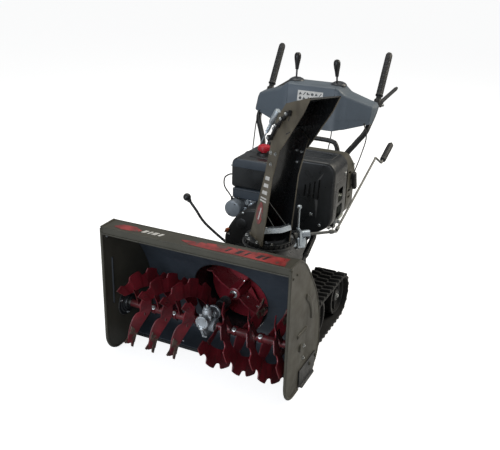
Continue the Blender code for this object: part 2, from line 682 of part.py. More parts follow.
def build_engine_covers(root):
    tank = prism(rounded_outline((-0.172, 0.548), (0.052, 0.680), (0.012, 0.008, 0.022, 0.030)),
                 "y", 0.652, 0.890)
    tank_part = add_part("fuel_tank", tank, "black_plastic", root)
    fuse(tank_part, rod((-0.066, 0.752, 0.67), (-0.066, 0.752, 0.6930), 0.030, 20))
    cut(tank_part, rod((-0.066, 0.752, 0.60), (-0.066, 0.752, 0.72), 0.0145, 16))
    add_part("intake_box", prism(rounded_outline((-0.160, 0.5030), (0.036, 0.5475),
                                                 (0.008, 0.008, 0.004, 0.004)), "y",
                                 0.640, 0.688), "black_plastic", root)
    guard = prism([(0.060, 0.400), (0.235, 0.412), (0.287, 0.450), (0.300, 0.480),
                   (0.300, 0.690), (0.275, 0.722), (0.060, 0.722)], "y", 0.640, 0.800)
    guard_part = add_part("muffler_guard", guard, "black_paint", root)
    cut(guard_part,
        prism([(0.063, 0.390), (0.232, 0.390), (0.284, 0.452), (0.297, 0.482),
               (0.297, 0.688), (0.273, 0.719), (0.063, 0.719)], "y", 0.643, 0.810),
        block((0.062, 0.74, 0.40), (0.02, 0.3, 0.55)),
        *guard_slots())
    recoil = prism([(-0.100, 0.375), (0.180, 0.375), (0.278, 0.440), (0.296, 0.480),
                    (0.296, 0.650), (0.262, 0.700), (0.0530, 0.700), (0.0530, 0.5470),
                    (-0.100, 0.5470)], "y", 0.827, 0.9250)
    recoil_part = add_part("recoil_housing", recoil, "black_plastic", root)
    cut(recoil_part,
        prism([(-0.095, 0.380), (0.178, 0.380), (0.274, 0.443), (0.291, 0.482),
               (0.291, 0.648), (0.259, 0.695), (0.0580, 0.695), (0.0580, 0.5420),
               (-0.095, 0.5420)], "y", 0.820, 0.9200),
        block((0.2935, 0.885, 0.5830), (0.020, 0.010, 0.026)))
    pull = Vector((0.36, 0, 0.933)).normalized()
    rope = turned([(0, 0), (0.0022, 0), (0.0022, 0.166), (0, 0.166)],
                  Vector((0.300, 0.885, 0.600)) - 0.165 * pull, pull, 8)
    handle = add_part("recoil_grip", rope, "rubber", root, pivot=(0.300, 0.885, 0.600))
    grip = prism(rounded_outline((0.872, 0.545), (0.898, 0.628), (0.008,) * 4, 2), "x",
                 0.2985, 0.3165)
    turn = Matrix.Rotation(radians(18), 3, "X")
    bmesh.ops.rotate(grip, cent=(0.3, 0.885, 0.600), matrix=turn, verts=grip.verts)
    fuse(handle, grip)


def guard_slots():
    """Vertical slots in the front of the muffler guard and a grille in its top."""
    slots = [block((0.180 + 0.022 * i, 0.64, 0.590), (0.009, 0.02, 0.075)) for i in range(4)]
    slots += [block((0.110 + 0.030 * i, 0.735, 0.722), (0.016, 0.080, 0.02)) for i in range(5)]
    slots.append(block((0.300, 0.715, 0.560), (0.02, 0.060, 0.150)))
    return slots


# Chassis and tracks ----------------------------------------------------------------

def build_chassis(root):
    bed = add_part("engine_bed", block((0.035, 0.8000, 0.3600), (0.290, 0.320, 0.020), 0.003, 1),
                   "black_paint", root)
    fuse(bed, block((0.035, 0.775, 0.3400), (0.250, 0.240, 0.030)),
         block((0, 0.9610, 0.3500), (0.430, 0.012, 0.050), 0.002, 1))
    case = add_part("transmission_case",
                    prism([(0.5033, 0.120), (0.540, 0.098), (0.800, 0.098), (0.840, 0.150),
                           (0.840, 0.3240), (0.5800, 0.3240), (0.5033, 0.300)],
                          "x", -0.128, 0.128), "black_paint", root)
    cut(case, block((0, 0.690, 0.216), (0.248, 0.280, 0.228)),
        block((0, 0.52, 0.330), (0.2400, 0.27, 0.250)),
        rod((0, 0.49, IMPELLER_Z), (0, 0.60, IMPELLER_Z), 0.080, 24),
        rod((-0.2, WHEEL_REAR_Y, WHEEL_Z), (0.2, WHEEL_REAR_Y, WHEEL_Z), 0.0135, 16))
    cover = prism([(-0.112, 0.120), (0.112, 0.120), (0.112, 0.300), (0.085, 0.470),
                   (0.050, 0.520), (-0.020, 0.520), (-0.061, 0.493), (-0.100, 0.440),
                   (-0.126, 0.385), (-0.126, 0.330), (-0.112, 0.300)], "y", 0.5036, 0.636)
    cover_part = add_part("belt_cover", cover, "black_plastic", root)
    cut(cover_part,
        prism([(-0.109, 0.05), (0.109, 0.05), (0.109, 0.300), (0.082, 0.468), (0.048, 0.517),
               (-0.021, 0.517), (-0.059, 0.490), (-0.097, 0.438), (-0.123, 0.384),
               (-0.123, 0.331), (-0.109, 0.302)], "y", 0.5066, 0.70),
        block((0, 0.57, 0.20), (0.4, 0.30, 0.2600)))


def stadium(front, rear, height, radius, steps=8):
    """Closed outline around two equal circles."""
    return (arc((rear, height), radius, -90, 90, steps)
            + arc((front, height), radius, 90, 270, steps))


def lugged_stadium(front, rear, height, radius, lug, lugs):
    """Stadium outline with evenly spaced lugs standing out of it."""
    straight = rear - front
    total = 2 * straight + 2 * pi * radius
    points = []
    for index in range(lugs):
        for share, rise in ((0.0, 0), (0.30, 0), (0.40, lug), (0.70, lug), (0.80, 0)):
            run = (index + share) * total / lugs
            reach = radius + rise
            if run < straight:
                points.append((front + run, height - reach))
                continue
            run -= straight
            if run < pi * radius:
                angle = run / radius - pi / 2
                points.append((rear + reach * cos(angle), height + reach * sin(angle)))
                continue
            run -= pi * radius
            if run < straight:
                points.append((rear - run, height + reach))
                continue
            angle = (run - straight) / radius + pi / 2
            points.append((front + reach * cos(angle), height + reach * sin(angle)))
    return points


def build_tracks(root):
    for side, name in ((1, "left"), (-1, "right")):
        low, high = sorted((side * BELT_INNER_X, side * BELT_OUTER_X))
        outline = lugged_stadium(WHEEL_FRONT_Y, WHEEL_REAR_Y, WHEEL_Z, BELT_RADIUS,
                                 LUG_HEIGHT, 30)
        belt = add_part(f"track_belt_{name}", prism(outline, "x", low, high), "rubber", root)
        hole = stadium(WHEEL_FRONT_Y, WHEEL_REAR_Y, WHEEL_Z, BELT_RADIUS - BELT_THICKNESS, 10)
        cut(belt, prism(hole, "x", low - 0.01, high + 0.01))
        wheel_radius = BELT_RADIUS - BELT_THICKNESS - 0.0022
        for y, kind in ((WHEEL_REAR_Y, "drive_wheel"), (WHEEL_FRONT_Y, "idler")):
            build_wheel(root, f"{kind}_{name}", side, y, wheel_radius)
    frame = block((0, 0.620, 0.0760), (0.396, 0.050, 0.036), 0.004, 1)
    frame_part = add_part("track_frame", frame, "black_paint", root)
    for side in (1, -1):
        fuse(frame_part, block((side * 0.1960, 0.598, WHEEL_Z), (0.006, 0.300, 0.060), 0.002, 1))
        stub = (side * 0.1955, WHEEL_FRONT_Y, WHEEL_Z)
        fuse(frame_part, rod(stub, (side * 0.300, WHEEL_FRONT_Y, WHEEL_Z), 0.0080, 16))
        cut(frame_part, rod((side * 0.18, WHEEL_REAR_Y, WHEEL_Z),
                            (side * 0.22, WHEEL_REAR_Y, WHEEL_Z), 0.0125, 16))


def build_wheel(root, name, side, y, radius):
    bore = 0.0085 if name.startswith("idler") else 0.0
    inner, outer = 0.225, 0.325
    profile = [(bore, inner), (radius, inner), (radius, outer), (0.064, outer),
               (0.058, 0.300), (0.024, 0.300), (0.024, outer - 0.004), (bore, outer - 0.004)]
    wheel = turned(profile, (0, y, WHEEL_Z), (side, 0, 0), 22)
    part = add_part(name, wheel, "black_plastic", root, pivot=(side * 0.275, y, WHEEL_Z),
                    smooth=True)
    if not bore:
        fuse(part, rod((side * 0.130, y, WHEEL_Z), (side * 0.24, y, WHEEL_Z), 0.0110, 16))


# Handlebars and controls -------------------------------------------------------------

def build_handlebars(root):
    for side, name in ((1, "left"), (-1, "right")):
        along = (GRIP_TOP - GRIP_LOW).normalized()
        route = [(0.200, 0.9420, 0.330), (0.200, 0.9430, 0.400), (0.201, 0.992, 0.520),
                 (0.205, 1.050, 0.632), (0.236, 1.092, 0.690), (0.267, 1.128, 0.738),
                 (0.2745, 1.165, 0.774), (0.2745, 1.232, 0.814),
                 GRIP_LOW - 0.012 * along, GRIP_LOW + 0.012 * along, GRIP_TOP - 0.020 * along]
        points = [mirrored(p, side) for p in smooth_curve(route, 2)]
        add_tube(f"handlebar_{name}", points, TUBE_RADIUS, "black_paint", root)
        grip = turned([(GRIP_BORE, 0), (GRIP_RADIUS + 0.002, 0),
                       (GRIP_RADIUS + 0.002, 0.006), (GRIP_RADIUS, 0.010),
                       (GRIP_RADIUS, 0.204), (0.010, 0.218), (0, 0.221), (0, 0.2070),
                       (GRIP_BORE, 0.2070)],
                      mirrored(GRIP_LOW + 0.012 * along, side), mirrored(along, side), 20)
        add_part(f"grip_{name}", grip, "rubber", root, smooth=True)
        build_clutch_lever(root, side, name, along)
    bow = smooth_curve([(-0.1862, 1.035, 0.600), (-0.186, 1.045, 0.640), (-0.172, 1.060, 0.680),
                        (-0.135, 1.066, 0.698), (0, 1.066, 0.700), (0.135, 1.066, 0.698),
                        (0.172, 1.060, 0.680), (0.186, 1.045, 0.640),
                        (0.1862, 1.035, 0.600)], 2)
    add_tube("cross_tube", [(p[0] * 0.925, p[1], p[2]) for p in bow], 0.0110, "black_paint",
             root, resolution=3)


def build_clutch_lever(root, side, name, along):
    """Lever under the grip, on a clamp hinge at the grip's foot."""
    base = GRIP_LOW - 0.020 * along + Vector((0, 0.0260, -0.016))
    pivot = mirrored(base, side)
    end = Vector((0.275, REAR_END - 0.0004, 0.868))
    route = [base, base + Vector((0, 0.030, 0.006)), base + Vector((0, 0.080, 0.010)), end]
    points = [mirrored(p, side) for p in smooth_curve(route, 3)]
    lever = add_part(f"clutch_lever_{name}", tube_solid(points, 0.0105, 3), "black_plastic",
                     root, pivot=pivot)
    fuse(lever, rod(pivot - Vector((0.014, 0, 0)), pivot + Vector((0.014, 0, 0)), 0.0115, 14))


def console_section(x, inset):
    """Corners (y, z) of the console at x: front foot, front top, back top, back foot."""
    share = min(max((abs(x) - 0.120) / 0.050, 0.0), 1.0)
    wing = min(max((abs(x) - 0.170) / (CONSOLE_HALF - 0.170), 0.0), 1.0)
    top = 0.936 - 0.034 * share - 0.042 * wing
    foot = 0.738 + 0.010 * share + 0.036 * wing
    front = 1.082 + 0.012 * share + 0.040 * wing
    back = 1.236 + 0.006 * wing
    return [(front + inset, foot), (front + 0.030 + inset, top - inset * 1.2 - 0.004),
            (back - inset, top - inset * 1.2), (back + 0.004 - inset, top - 0.052 + 0.036 * wing)]


def console_solid(inset):
    half = CONSOLE_HALF - inset
    stations = [-half, -0.235, -0.170, -0.120, 0.0, 0.120, 0.170, 0.235, half]
    bm = bmesh.new()
    loops = []
    for x in stations:
        corners = console_section(x, inset)
        if inset:
            first, last = corners[0], corners[-1]
            corners[0] = (first[0] - 0.004, first[1] - 0.030)
            corners[-1] = (last[0] + 0.002, last[1] - 0.080)
        loops.append([bm.verts.new((x, y, z)) for y, z in corners])
    for first, second in zip(loops, loops[1:]):
        for j in range(4):
            bm.faces.new((first[j], first[(j + 1) % 4], second[(j + 1) % 4], second[j]))
    bm.faces.new(loops[0])
    bm.faces.new(loops[-1])
    return close_up(bm)


def build_console(root):
    console = add_part("console", console_solid(0.0), "slate_plastic", root)
    cut(console, console_solid(0.003))
    for side, name in ((1, "deflector"), (-1, "speed")):
        foot = Vector((side * 0.105, 1.196, 0.0))
        cut(console, block((foot.x, foot.y - 0.004, 0.93), (0.014, 0.070, 0.060)))
        pivot = Vector((foot.x, 1.185, 0.862))
        tip = Vector((foot.x, 1.192, 1.064)) if side < 0 else Vector((foot.x - 0.005, 1.158, 1.052))
        length = (tip - pivot).length
        knob = turned([(0, 0), (0.0042, 0), (0.0042, length - 0.078), (0.0080, length - 0.074),
                       (0.0100, length - 0.060), (0.0158, length - 0.026),
                       (0.0155, length - 0.012), (0.0095, length - 0.002), (0, length)],
                      pivot, tip - pivot, 16)
        lever = add_part(f"{name}_lever", knob, "black_plastic", root, pivot=pivot, smooth=True)
        fuse(lever, rod(pivot - Vector((0.010, 0, 0)), pivot + Vector((0.010, 0, 0)), 0.009, 12))


def build_height_lever(root):
    pivot = Vector((-0.1420, 0.600, 0.296))
    route = [pivot, Vector((-0.175, 0.600, 0.310)), Vector((-0.272, 0.600, 0.374)),
             Vector((-0.318, 0.600, 0.428)), Vector((-0.363, 0.600, 0.480))]
    rod_points = smooth_curve(route, 3)
    lever = add_part("height_lever", tube_solid(rod_points, 0.0060, 1), "black_paint", root,
                     pivot=pivot, smooth=True)
    ball = bmesh.new()
    bmesh.ops.create_uvsphere(ball, u_segments=12, v_segments=8, radius=0.0175)
    bmesh.ops.translate(ball, vec=route[-1], verts=ball.verts)
    fuse(lever, ball, rod(pivot - Vector((0.008, 0, 0)), pivot + Vector((0.0125, 0, 0)), 0.012, 14))


def build_cables(root):
    routes = {
        "cable_auger": [(-0.262, 1.120, 0.786), (-0.268, 1.102, 0.730), (-0.262, 1.070, 0.660),
                        (-0.250, 1.025, 0.560), (-0.232, 0.990, 0.450), (-0.160, 0.978, 0.376)],
        "cable_drive": [(0.262, 1.120, 0.786), (0.284, 1.102, 0.730), (0.278, 1.070, 0.660),
                        (0.258, 1.025, 0.560), (0.232, 0.990, 0.450), (0.160, 0.978, 0.376)],
        "cable_speed": [(0.110, 1.116, 0.790), (0.112, 1.110, 0.700), (0.108, 1.030, 0.560),
                        (0.090, 0.980, 0.460), (0.060, 0.978, 0.376)],
    }
    for name, route in routes.items():
        add_tube(name, smooth_curve(route, 4), 0.0026, "rubber", root, resolution=2)
    strut = turned([(0, 0), (0.008, 0), (0.011, 0.006), (0.011, 0.120), (0.007, 0.126),
                    (0.007, 0.200), (0, 0.200)], (0.193, 0.745, 0.362),
                   (0.0, -0.860, -0.510), 14)
    add_part("height_strut", strut, "black_paint", root, smooth=True)


def main():
    clear_scene()
    root = add_empty("machine", (-(LEFT_END + RIGHT_END) / 2, -(FRONT_END + REAR_END) / 2, 0))
    build_housing(root)
    build_auger(root)
    build_gearbox(root)
    build_impeller(root)
    build_drum(root)
    build_chute(root)
    build_chute_drive(root)
    build_engine(root)
    build_chassis(root)
    build_tracks(root)
    build_handlebars(root)
    build_console(root)
    build_height_lever(root)
    build_cables(root)
    bpy.context.view_layer.update()


main()
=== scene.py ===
"""Looks of a two stage snowblower on rubber tracks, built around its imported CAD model.

Lengths are metres.  Pieces are drawn in the machine's own frame: X = 0 is its middle and +X is
the operator's left, Y = 0 is the front edge of the auger housing, Z = 0 is the ground.
"""
import json
import math
from math import cos, pi, radians, sin

import bmesh
import bpy
from mathutils import Matrix, Vector


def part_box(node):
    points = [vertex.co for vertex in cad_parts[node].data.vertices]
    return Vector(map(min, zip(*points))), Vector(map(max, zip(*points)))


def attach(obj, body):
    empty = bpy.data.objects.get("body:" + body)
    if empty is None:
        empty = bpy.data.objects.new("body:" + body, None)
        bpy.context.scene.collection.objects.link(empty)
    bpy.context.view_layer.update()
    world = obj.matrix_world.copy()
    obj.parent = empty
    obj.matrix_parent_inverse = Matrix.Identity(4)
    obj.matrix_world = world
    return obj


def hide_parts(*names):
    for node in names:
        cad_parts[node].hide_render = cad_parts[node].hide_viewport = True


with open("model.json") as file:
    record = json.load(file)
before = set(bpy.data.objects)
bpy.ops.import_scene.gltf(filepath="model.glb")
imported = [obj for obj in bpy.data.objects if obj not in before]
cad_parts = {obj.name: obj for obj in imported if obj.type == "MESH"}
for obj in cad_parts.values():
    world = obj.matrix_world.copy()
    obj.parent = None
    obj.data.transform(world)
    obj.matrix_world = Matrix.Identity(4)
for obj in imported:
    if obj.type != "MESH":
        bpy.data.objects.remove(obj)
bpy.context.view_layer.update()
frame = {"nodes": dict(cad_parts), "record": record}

PLATE_LOW, PLATE_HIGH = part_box("side_plate_left")
HALF_WIDTH = 0.380
ORIGIN = Vector((PLATE_HIGH.x - HALF_WIDTH, PLATE_LOW.y, 0.0))
AUGER = Vector((0.0, 0.135, 0.176))
IMPELLER = Vector((0.0, 0.400, 0.202))
CHUTE_AXIS = Vector((0.126, 0.400, 0.0))
CHUTE_YAW = radians(50)
CHUTE_TURN = Matrix.Translation(CHUTE_AXIS) @ Matrix.Rotation(CHUTE_YAW, 4, "Z")


# Materials -----------------------------------------------------------------------

def link(tree, a, b):
    tree.links.new(a, b)


def noise_node(tree, coords, scale, detail=4.0, stretch=None):
    node = tree.nodes.new("ShaderNodeTexNoise")
    node.inputs["Scale"].default_value = scale
    node.inputs["Detail"].default_value = detail
    source = coords
    if stretch:
        mapping = tree.nodes.new("ShaderNodeMapping")
        mapping.inputs["Scale"].default_value = stretch
        link(tree, coords, mapping.inputs["Vector"])
        source = mapping.outputs["Vector"]
    link(tree, source, node.inputs["Vector"])
    return node.outputs["Fac"]


def ramp(tree, value, stops):
    node = tree.nodes.new("ShaderNodeValToRGB")
    elements = node.color_ramp.elements
    while len(elements) < len(stops):
        elements.new(0.5)
    for element, (place, colour) in zip(elements, stops):
        element.position = place
        element.color = (*colour, 1.0)
    link(tree, value, node.inputs["Fac"])
    return node.outputs["Color"]


def spread(tree, value, low, high):
    node = tree.nodes.new("ShaderNodeMapRange")
    node.inputs["From Min"].default_value = 0.3
    node.inputs["From Max"].default_value = 0.7
    node.inputs["To Min"].default_value = low
    node.inputs["To Max"].default_value = high
    link(tree, value, node.inputs["Value"])
    return node.outputs["Result"]


def mixed(tree, factor, first, second):
    node = tree.nodes.new("ShaderNodeMix")
    node.data_type = "RGBA"
    link(tree, factor, node.inputs["Factor"])
    link(tree, first, node.inputs[6])
    link(tree, second, node.inputs[7])
    return node.outputs[2]


def material(name, colour, rough=0.4, metal=0.0, variety=0.25, patch=6.0, grain=900.0, bump=0.08,
             wear=None, wear_start=0.53, coat=0.0, dust=None, stretch=None, specular=0.5,
             blotch=None):
    """Procedural finish: uneven colour, uneven gloss, fine grain, and worn edges or dust."""
    made = bpy.data.materials.new(name)
    made.use_nodes = True
    tree = made.node_tree
    shader = tree.nodes["Principled BSDF"]
    coords = tree.nodes.new("ShaderNodeTexCoord").outputs["Object"]
    large = noise_node(tree, coords, patch, 5.0, stretch)
    dark = tuple(c * (1 - variety) for c in colour)
    light = tuple(min(1.0, c * (1 + variety)) for c in colour)
    base = ramp(tree, large, [(0.35, dark), (0.65, light)])
    if blotch:
        spots = noise_node(tree, coords, blotch[1], 6.0, stretch)
        mask = ramp(tree, spots, [(blotch[2], (0, 0, 0)), (blotch[2] + 0.06, (1, 1, 1))])
        other = ramp(tree, spots, [(0.0, blotch[0]), (1.0, blotch[0])])
        base = mixed(tree, mask, base, other)
    if dust:
        fine = noise_node(tree, coords, 38.0, 8.0)
        mask = ramp(tree, fine, [(0.50, (0, 0, 0)), (0.85, (0.55, 0.55, 0.55))])
        other = ramp(tree, fine, [(0.0, dust), (1.0, dust)])
        base = mixed(tree, mask, base, other)
    if wear:
        geometry = tree.nodes.new("ShaderNodeNewGeometry")
        chips = noise_node(tree, coords, 160.0, 6.0)
        product = tree.nodes.new("ShaderNodeMath")
        product.operation = "MULTIPLY_ADD"
        link(tree, chips, product.inputs[0])
        product.inputs[1].default_value = 0.10
        link(tree, geometry.outputs["Pointiness"], product.inputs[2])
        mask = ramp(tree, product.outputs["Value"],
                    [(wear_start + 0.05, (0, 0, 0)), (wear_start + 0.09, (1, 1, 1))])
        other = ramp(tree, chips, [(0.0, wear), (1.0, wear)])
        base = mixed(tree, mask, base, other)
    link(tree, base, shader.inputs["Base Color"])
    smear = noise_node(tree, coords, patch * 3.1, 6.0, stretch)
    link(tree, spread(tree, smear, max(rough - 0.10, 0.04), min(rough + 0.10, 1.0)),
         shader.inputs["Roughness"])
    shader.inputs["Metallic"].default_value = metal
    shader.inputs["Coat Weight"].default_value = coat
    shader.inputs["Coat Roughness"].default_value = 0.18
    shader.inputs["Specular IOR Level"].default_value = specular
    texture = noise_node(tree, coords, grain, 3.0, stretch)
    bumped = tree.nodes.new("ShaderNodeBump")
    bumped.inputs["Strength"].default_value = bump
    bumped.inputs["Distance"].default_value = 0.0006
    link(tree, texture, bumped.inputs["Height"])
    link(tree, bumped.outputs["Normal"], shader.inputs["Normal"])
    return made


M = {
    # Black paint lightened and warmed to olive: painted light from the warm key on faces that look
    # up and to the right.
    "black_painted_light": material("black_paint_with_painted_key_light", (0.068, 0.064, 0.050), 0.42, variety=0.16, grain=1400,
                      bump=0.10, specular=0.25),
    "black": material("black_powder_coat", (0.017, 0.0185, 0.0195), 0.34, variety=0.25, grain=1500,
                      bump=0.10, specular=0.42, coat=0.05, wear=(0.09, 0.09, 0.09),
                      wear_start=0.57),
    # Bluish copy of the black paint for faces turned into the housing: painted shade, with dust
    # speckles on top.
    "inside": material("housing_black_paint_with_painted_shade", (0.036, 0.044, 0.055), 0.40, variety=0.30,
                       patch=4.0, grain=1300, bump=0.10, dust=(0.060, 0.066, 0.076)),
    # Chute's black paint lightened to a warm brown: painted light from the warm key on its outer
    # walls.
    "chute_painted_light": material("chute_black_paint_with_painted_key_light", (0.108, 0.092, 0.066), 0.42, variety=0.32, patch=9.0,
                       grain=1400, bump=0.08, specular=0.25),
    # Darker, shinier copy of the chute's black paint for the channel faces: painted shade.
    "gloss": material("chute_black_paint_with_painted_shade", (0.009, 0.0095, 0.010), 0.24, variety=0.3, patch=8.0,
                      grain=1200, bump=0.06, coat=0.3),
    "red": material("auger_red_paint", (0.150, 0.0095, 0.016), 0.42, variety=0.35, patch=14.0,
                    grain=700, bump=0.22, wear=(0.055, 0.022, 0.018), wear_start=0.54,
                    dust=(0.085, 0.012, 0.014)),
    "red_dark": material("impeller_red_paint", (0.215, 0.016, 0.026), 0.34, variety=0.30,
                         patch=10.0, grain=700, bump=0.18, wear=(0.30, 0.12, 0.11),
                         wear_start=0.56),
    "worn": material("scraped_steel_tip", (0.115, 0.078, 0.060), 0.55, metal=0.3, variety=0.45,
                     patch=60.0, grain=500, bump=0.5, blotch=((0.13, 0.012, 0.015), 70.0, 0.56)),
    "cast": material("cast_aluminium", (0.40, 0.43, 0.45), 0.48, metal=0.55, variety=0.25,
                     patch=22.0, grain=420, bump=0.45, wear=(0.62, 0.64, 0.65), wear_start=0.53),
    "zinc": material("bright_zinc_plate", (0.56, 0.62, 0.67), 0.32, metal=0.85, variety=0.09,
                     patch=30.0, grain=900, bump=0.04),
    "zinc_dull": material("dull_zinc_rod", (0.14, 0.14, 0.13), 0.48, metal=0.3, variety=0.15,
                          patch=30.0, grain=900, bump=0.03),
    "bolt": material("zinc_bolt", (0.60, 0.62, 0.62), 0.28, metal=1.0, variety=0.15, patch=60.0,
                     grain=1200, bump=0.06),
    "bolt_black": material("black_bolt", (0.025, 0.025, 0.026), 0.36, metal=0.4, variety=0.2,
                           patch=60.0, grain=1200, bump=0.06, wear=(0.25, 0.25, 0.25),
                           wear_start=0.55),
    "steel": material("machined_steel", (0.30, 0.30, 0.29), 0.34, metal=1.0, variety=0.15,
                      patch=20.0, grain=500, bump=0.15, stretch=(1.0, 12.0, 1.0)),
    "plastic": material("black_moulded_plastic", (0.0115, 0.0115, 0.0118), 0.40, variety=0.2,
                        grain=1900, bump=0.16),
    "tank": material("tank_plastic", (0.012, 0.0135, 0.015), 0.34, variety=0.2, grain=1900,
                     bump=0.10, coat=0.1),
    "band": material("blue_grey_plastic", (0.045, 0.056, 0.070), 0.42, variety=0.12, grain=1900,
                     bump=0.12),
    "slate": material("slate_plastic", (0.098, 0.122, 0.148), 0.46, variety=0.10, patch=5.0,
                      grain=1700, bump=0.22),
    "dome": material("dome_plastic", (0.030, 0.034, 0.040), 0.45, variety=0.1, grain=1700,
                     bump=0.2),
    "knob": material("knob_plastic", (0.0125, 0.0125, 0.013), 0.36, variety=0.2, grain=1500,
                     bump=0.1),
    "rubber": material("track_rubber", (0.012, 0.012, 0.012), 0.66, variety=0.3, patch=12.0,
                       grain=600, bump=0.35, dust=(0.018, 0.018, 0.017)),
    "grip": material("grip_rubber", (0.012, 0.012, 0.0125), 0.58, variety=0.25, grain=900,
                     bump=0.25),
    "cable": material("cable_sheath", (0.012, 0.012, 0.012), 0.40, variety=0.2, grain=1500,
                      bump=0.1),
    "cap": material("red_cap_plastic", (0.40, 0.010, 0.020), 0.36, variety=0.15, grain=1500,
                    bump=0.10),
    "decal_red": material("decal_red", (0.27, 0.034, 0.032), 0.36, variety=0.36, patch=26.0,
                          grain=1500, bump=0.03, blotch=((0.095, 0.055, 0.046), 34.0, 0.555)),
    "decal_white": material("decal_white", (0.62, 0.60, 0.56), 0.32, variety=0.12, patch=40.0,
                            grain=1500, bump=0.03),
    "decal_black": material("decal_black", (0.020, 0.020, 0.020), 0.35, variety=0.2, patch=40.0,
                            grain=1500, bump=0.03),
    "amber": material("amber_plastic", (0.30, 0.075, 0.020), 0.42, variety=0.2, grain=1500,
                      bump=0.1),
    "patch": material("bare_aluminium_cover", (0.40, 0.42, 0.37), 0.42, metal=0.7, variety=0.12,
                      patch=14.0, grain=700, bump=0.15),
    "starter": material("starter_grey", (0.27, 0.30, 0.33), 0.40, metal=0.25, variety=0.12,
                        patch=30.0, grain=900, bump=0.15),
}


# Shapes --------------------------------------------------------------------------

AXIS_FRAMES = {
    "x": Matrix(((0, 0, 1), (1, 0, 0), (0, 1, 0))),
    "y": Matrix(((1, 0, 0), (0, 0, 1), (0, 1, 0))),
    "z": Matrix.Identity(3),
}


def closed(bm):
    bmesh.ops.recalc_face_normals(bm, faces=bm.faces)
    return bm


def prism(outline, axis, low, high):
    turn = AXIS_FRAMES[axis]
    bm = bmesh.new()
    face = bm.faces.new([bm.verts.new(turn @ Vector((p[0], p[1], low))) for p in outline])
    moved = [v for v in bmesh.ops.extrude_face_region(bm, geom=[face])["geom"]
             if isinstance(v, bmesh.types.BMVert)]
    bmesh.ops.translate(bm, vec=turn @ Vector((0, 0, high - low)), verts=moved)
    return closed(bm)


def block(centre, size, bevel=0.0, segments=2):
    bm = bmesh.new()
    bmesh.ops.create_cube(bm, size=1.0)
    bmesh.ops.scale(bm, vec=size, verts=bm.verts)
    if bevel:
        bmesh.ops.bevel(bm, geom=bm.edges, offset=bevel, segments=segments, profile=0.5,
                        affect="EDGES")
    bmesh.ops.translate(bm, vec=centre, verts=bm.verts)
    return closed(bm)


def aimed(bm, start, direction):
    turn = Vector(direction).to_track_quat("Z", "Y").to_matrix().to_4x4()
    bmesh.ops.transform(bm, matrix=Matrix.Translation(start) @ turn, verts=bm.verts)
    return bm


def turned(profile, start=(0, 0, 0), direction=(0, 0, 1), steps=32):
    """Spin (radius, height) points about an axis."""
    bm = bmesh.new()
    verts = [bm.verts.new((r, 0, h)) for r, h in profile]
    pairs = list(zip(verts, verts[1:]))
    if profile[0][0] > 0 or profile[-1][0] > 0:
        pairs.append((verts[-1], verts[0]))
    edges = [bm.edges.new(pair) for pair in pairs]
    bmesh.ops.spin(bm, geom=verts + edges, cent=(0, 0, 0), axis=(0, 0, 1), angle=2 * pi,
                   steps=steps, use_merge=True)
    bmesh.ops.remove_doubles(bm, verts=bm.verts, dist=1e-6)
    return aimed(closed(bm), start, direction)


def rod(start, end, radius, steps=24, chamfer=0.0):
    start, end = Vector(start), Vector(end)
    length = (end - start).length
    edge = min(chamfer, radius * 0.4, length * 0.4)
    if edge:
        profile = [(0, 0), (radius - edge, 0), (radius, edge), (radius, length - edge),
                   (radius - edge, length), (0, length)]
    else:
        profile = [(0, 0), (radius, 0), (radius, length), (0, length)]
    return turned(profile, start, end - start, steps)


def smooth_curve(points, steps):
    """Catmull-Rom curve through points."""
    points = [Vector(p) for p in points]
    padded = [2 * points[0] - points[1], *points, 2 * points[-1] - points[-2]]
    result = []
    for a, b, c, d in zip(padded, padded[1:], padded[2:], padded[3:]):
        for i in range(steps):
            t = i / steps
            result.append(0.5 * (2 * b + (c - a) * t + (2 * a - 5 * b + 4 * c - d) * t * t
                                 + (3 * b - a - 3 * c + d) * t ** 3))
    return result + [points[-1]]


def sweep(points, radius, sides=14, flat=1.0):
    """Closed tube along points; radius may be a number or one number for each point."""
    points = [Vector(p) for p in points]
    radii = radius if isinstance(radius, (list, tuple)) else [radius] * len(points)
    bm = bmesh.new()
    tangent = (points[1] - points[0]).normalized()
    side = tangent.orthogonal().normalized()
    rings = []
    for i, point in enumerate(points):
        ahead = points[min(i + 1, len(points) - 1)] - points[max(i - 1, 0)]
        new = ahead.normalized()
        side = (tangent.rotation_difference(new) @ side).normalized()
        tangent = new
        across = tangent.cross(side)
        rings.append([bm.verts.new(point + radii[i] * (cos(a) * side + flat * sin(a) * across))
                      for a in (2 * pi * j / sides for j in range(sides))])
    for first, second in zip(rings, rings[1:]):
        for j in range(sides):
            k = (j + 1) % sides
            bm.faces.new((first[j], first[k], second[k], second[j]))
    bm.faces.new(rings[0])
    bm.faces.new(rings[-1])
    return closed(bm)


def merged(*solids):
    """Several closed solids in one mesh."""
    bm = bmesh.new()
    for solid in solids:
        mesh = bpy.data.meshes.new("part")
        solid.to_mesh(mesh)
        bm.from_mesh(mesh)
        bpy.data.meshes.remove(mesh)
    return bm


def moved(bm, matrix):
    bmesh.ops.transform(bm, matrix=matrix, verts=bm.verts)
    return bm


def hex_bolt(place, direction, size=0.008, height=0.0055, washer=True):
    """Hexagon head with a chamfered top on a washer."""
    head = bmesh.new()
    bmesh.ops.create_cone(head, cap_ends=True, segments=6, radius1=size, radius2=size * 0.96,
                          depth=height)
    base = 0.0012 if washer else 0.0
    bmesh.ops.translate(head, vec=(0, 0, base + height / 2), verts=head.verts)
    solids = [head, turned([(0, base + height * 0.9), (size * 0.72, base + height * 0.9),
                            (size * 0.62, base + height + 0.0006), (0, base + height + 0.0006)],
                           steps=16)]
    if washer:
        solids.append(turned([(0, -0.0004), (size * 1.35, -0.0004), (size * 1.35, 0.0009),
                              (size * 1.25, 0.0012), (0, 0.0012)], steps=20))
    return aimed(merged(*solids), place, direction)


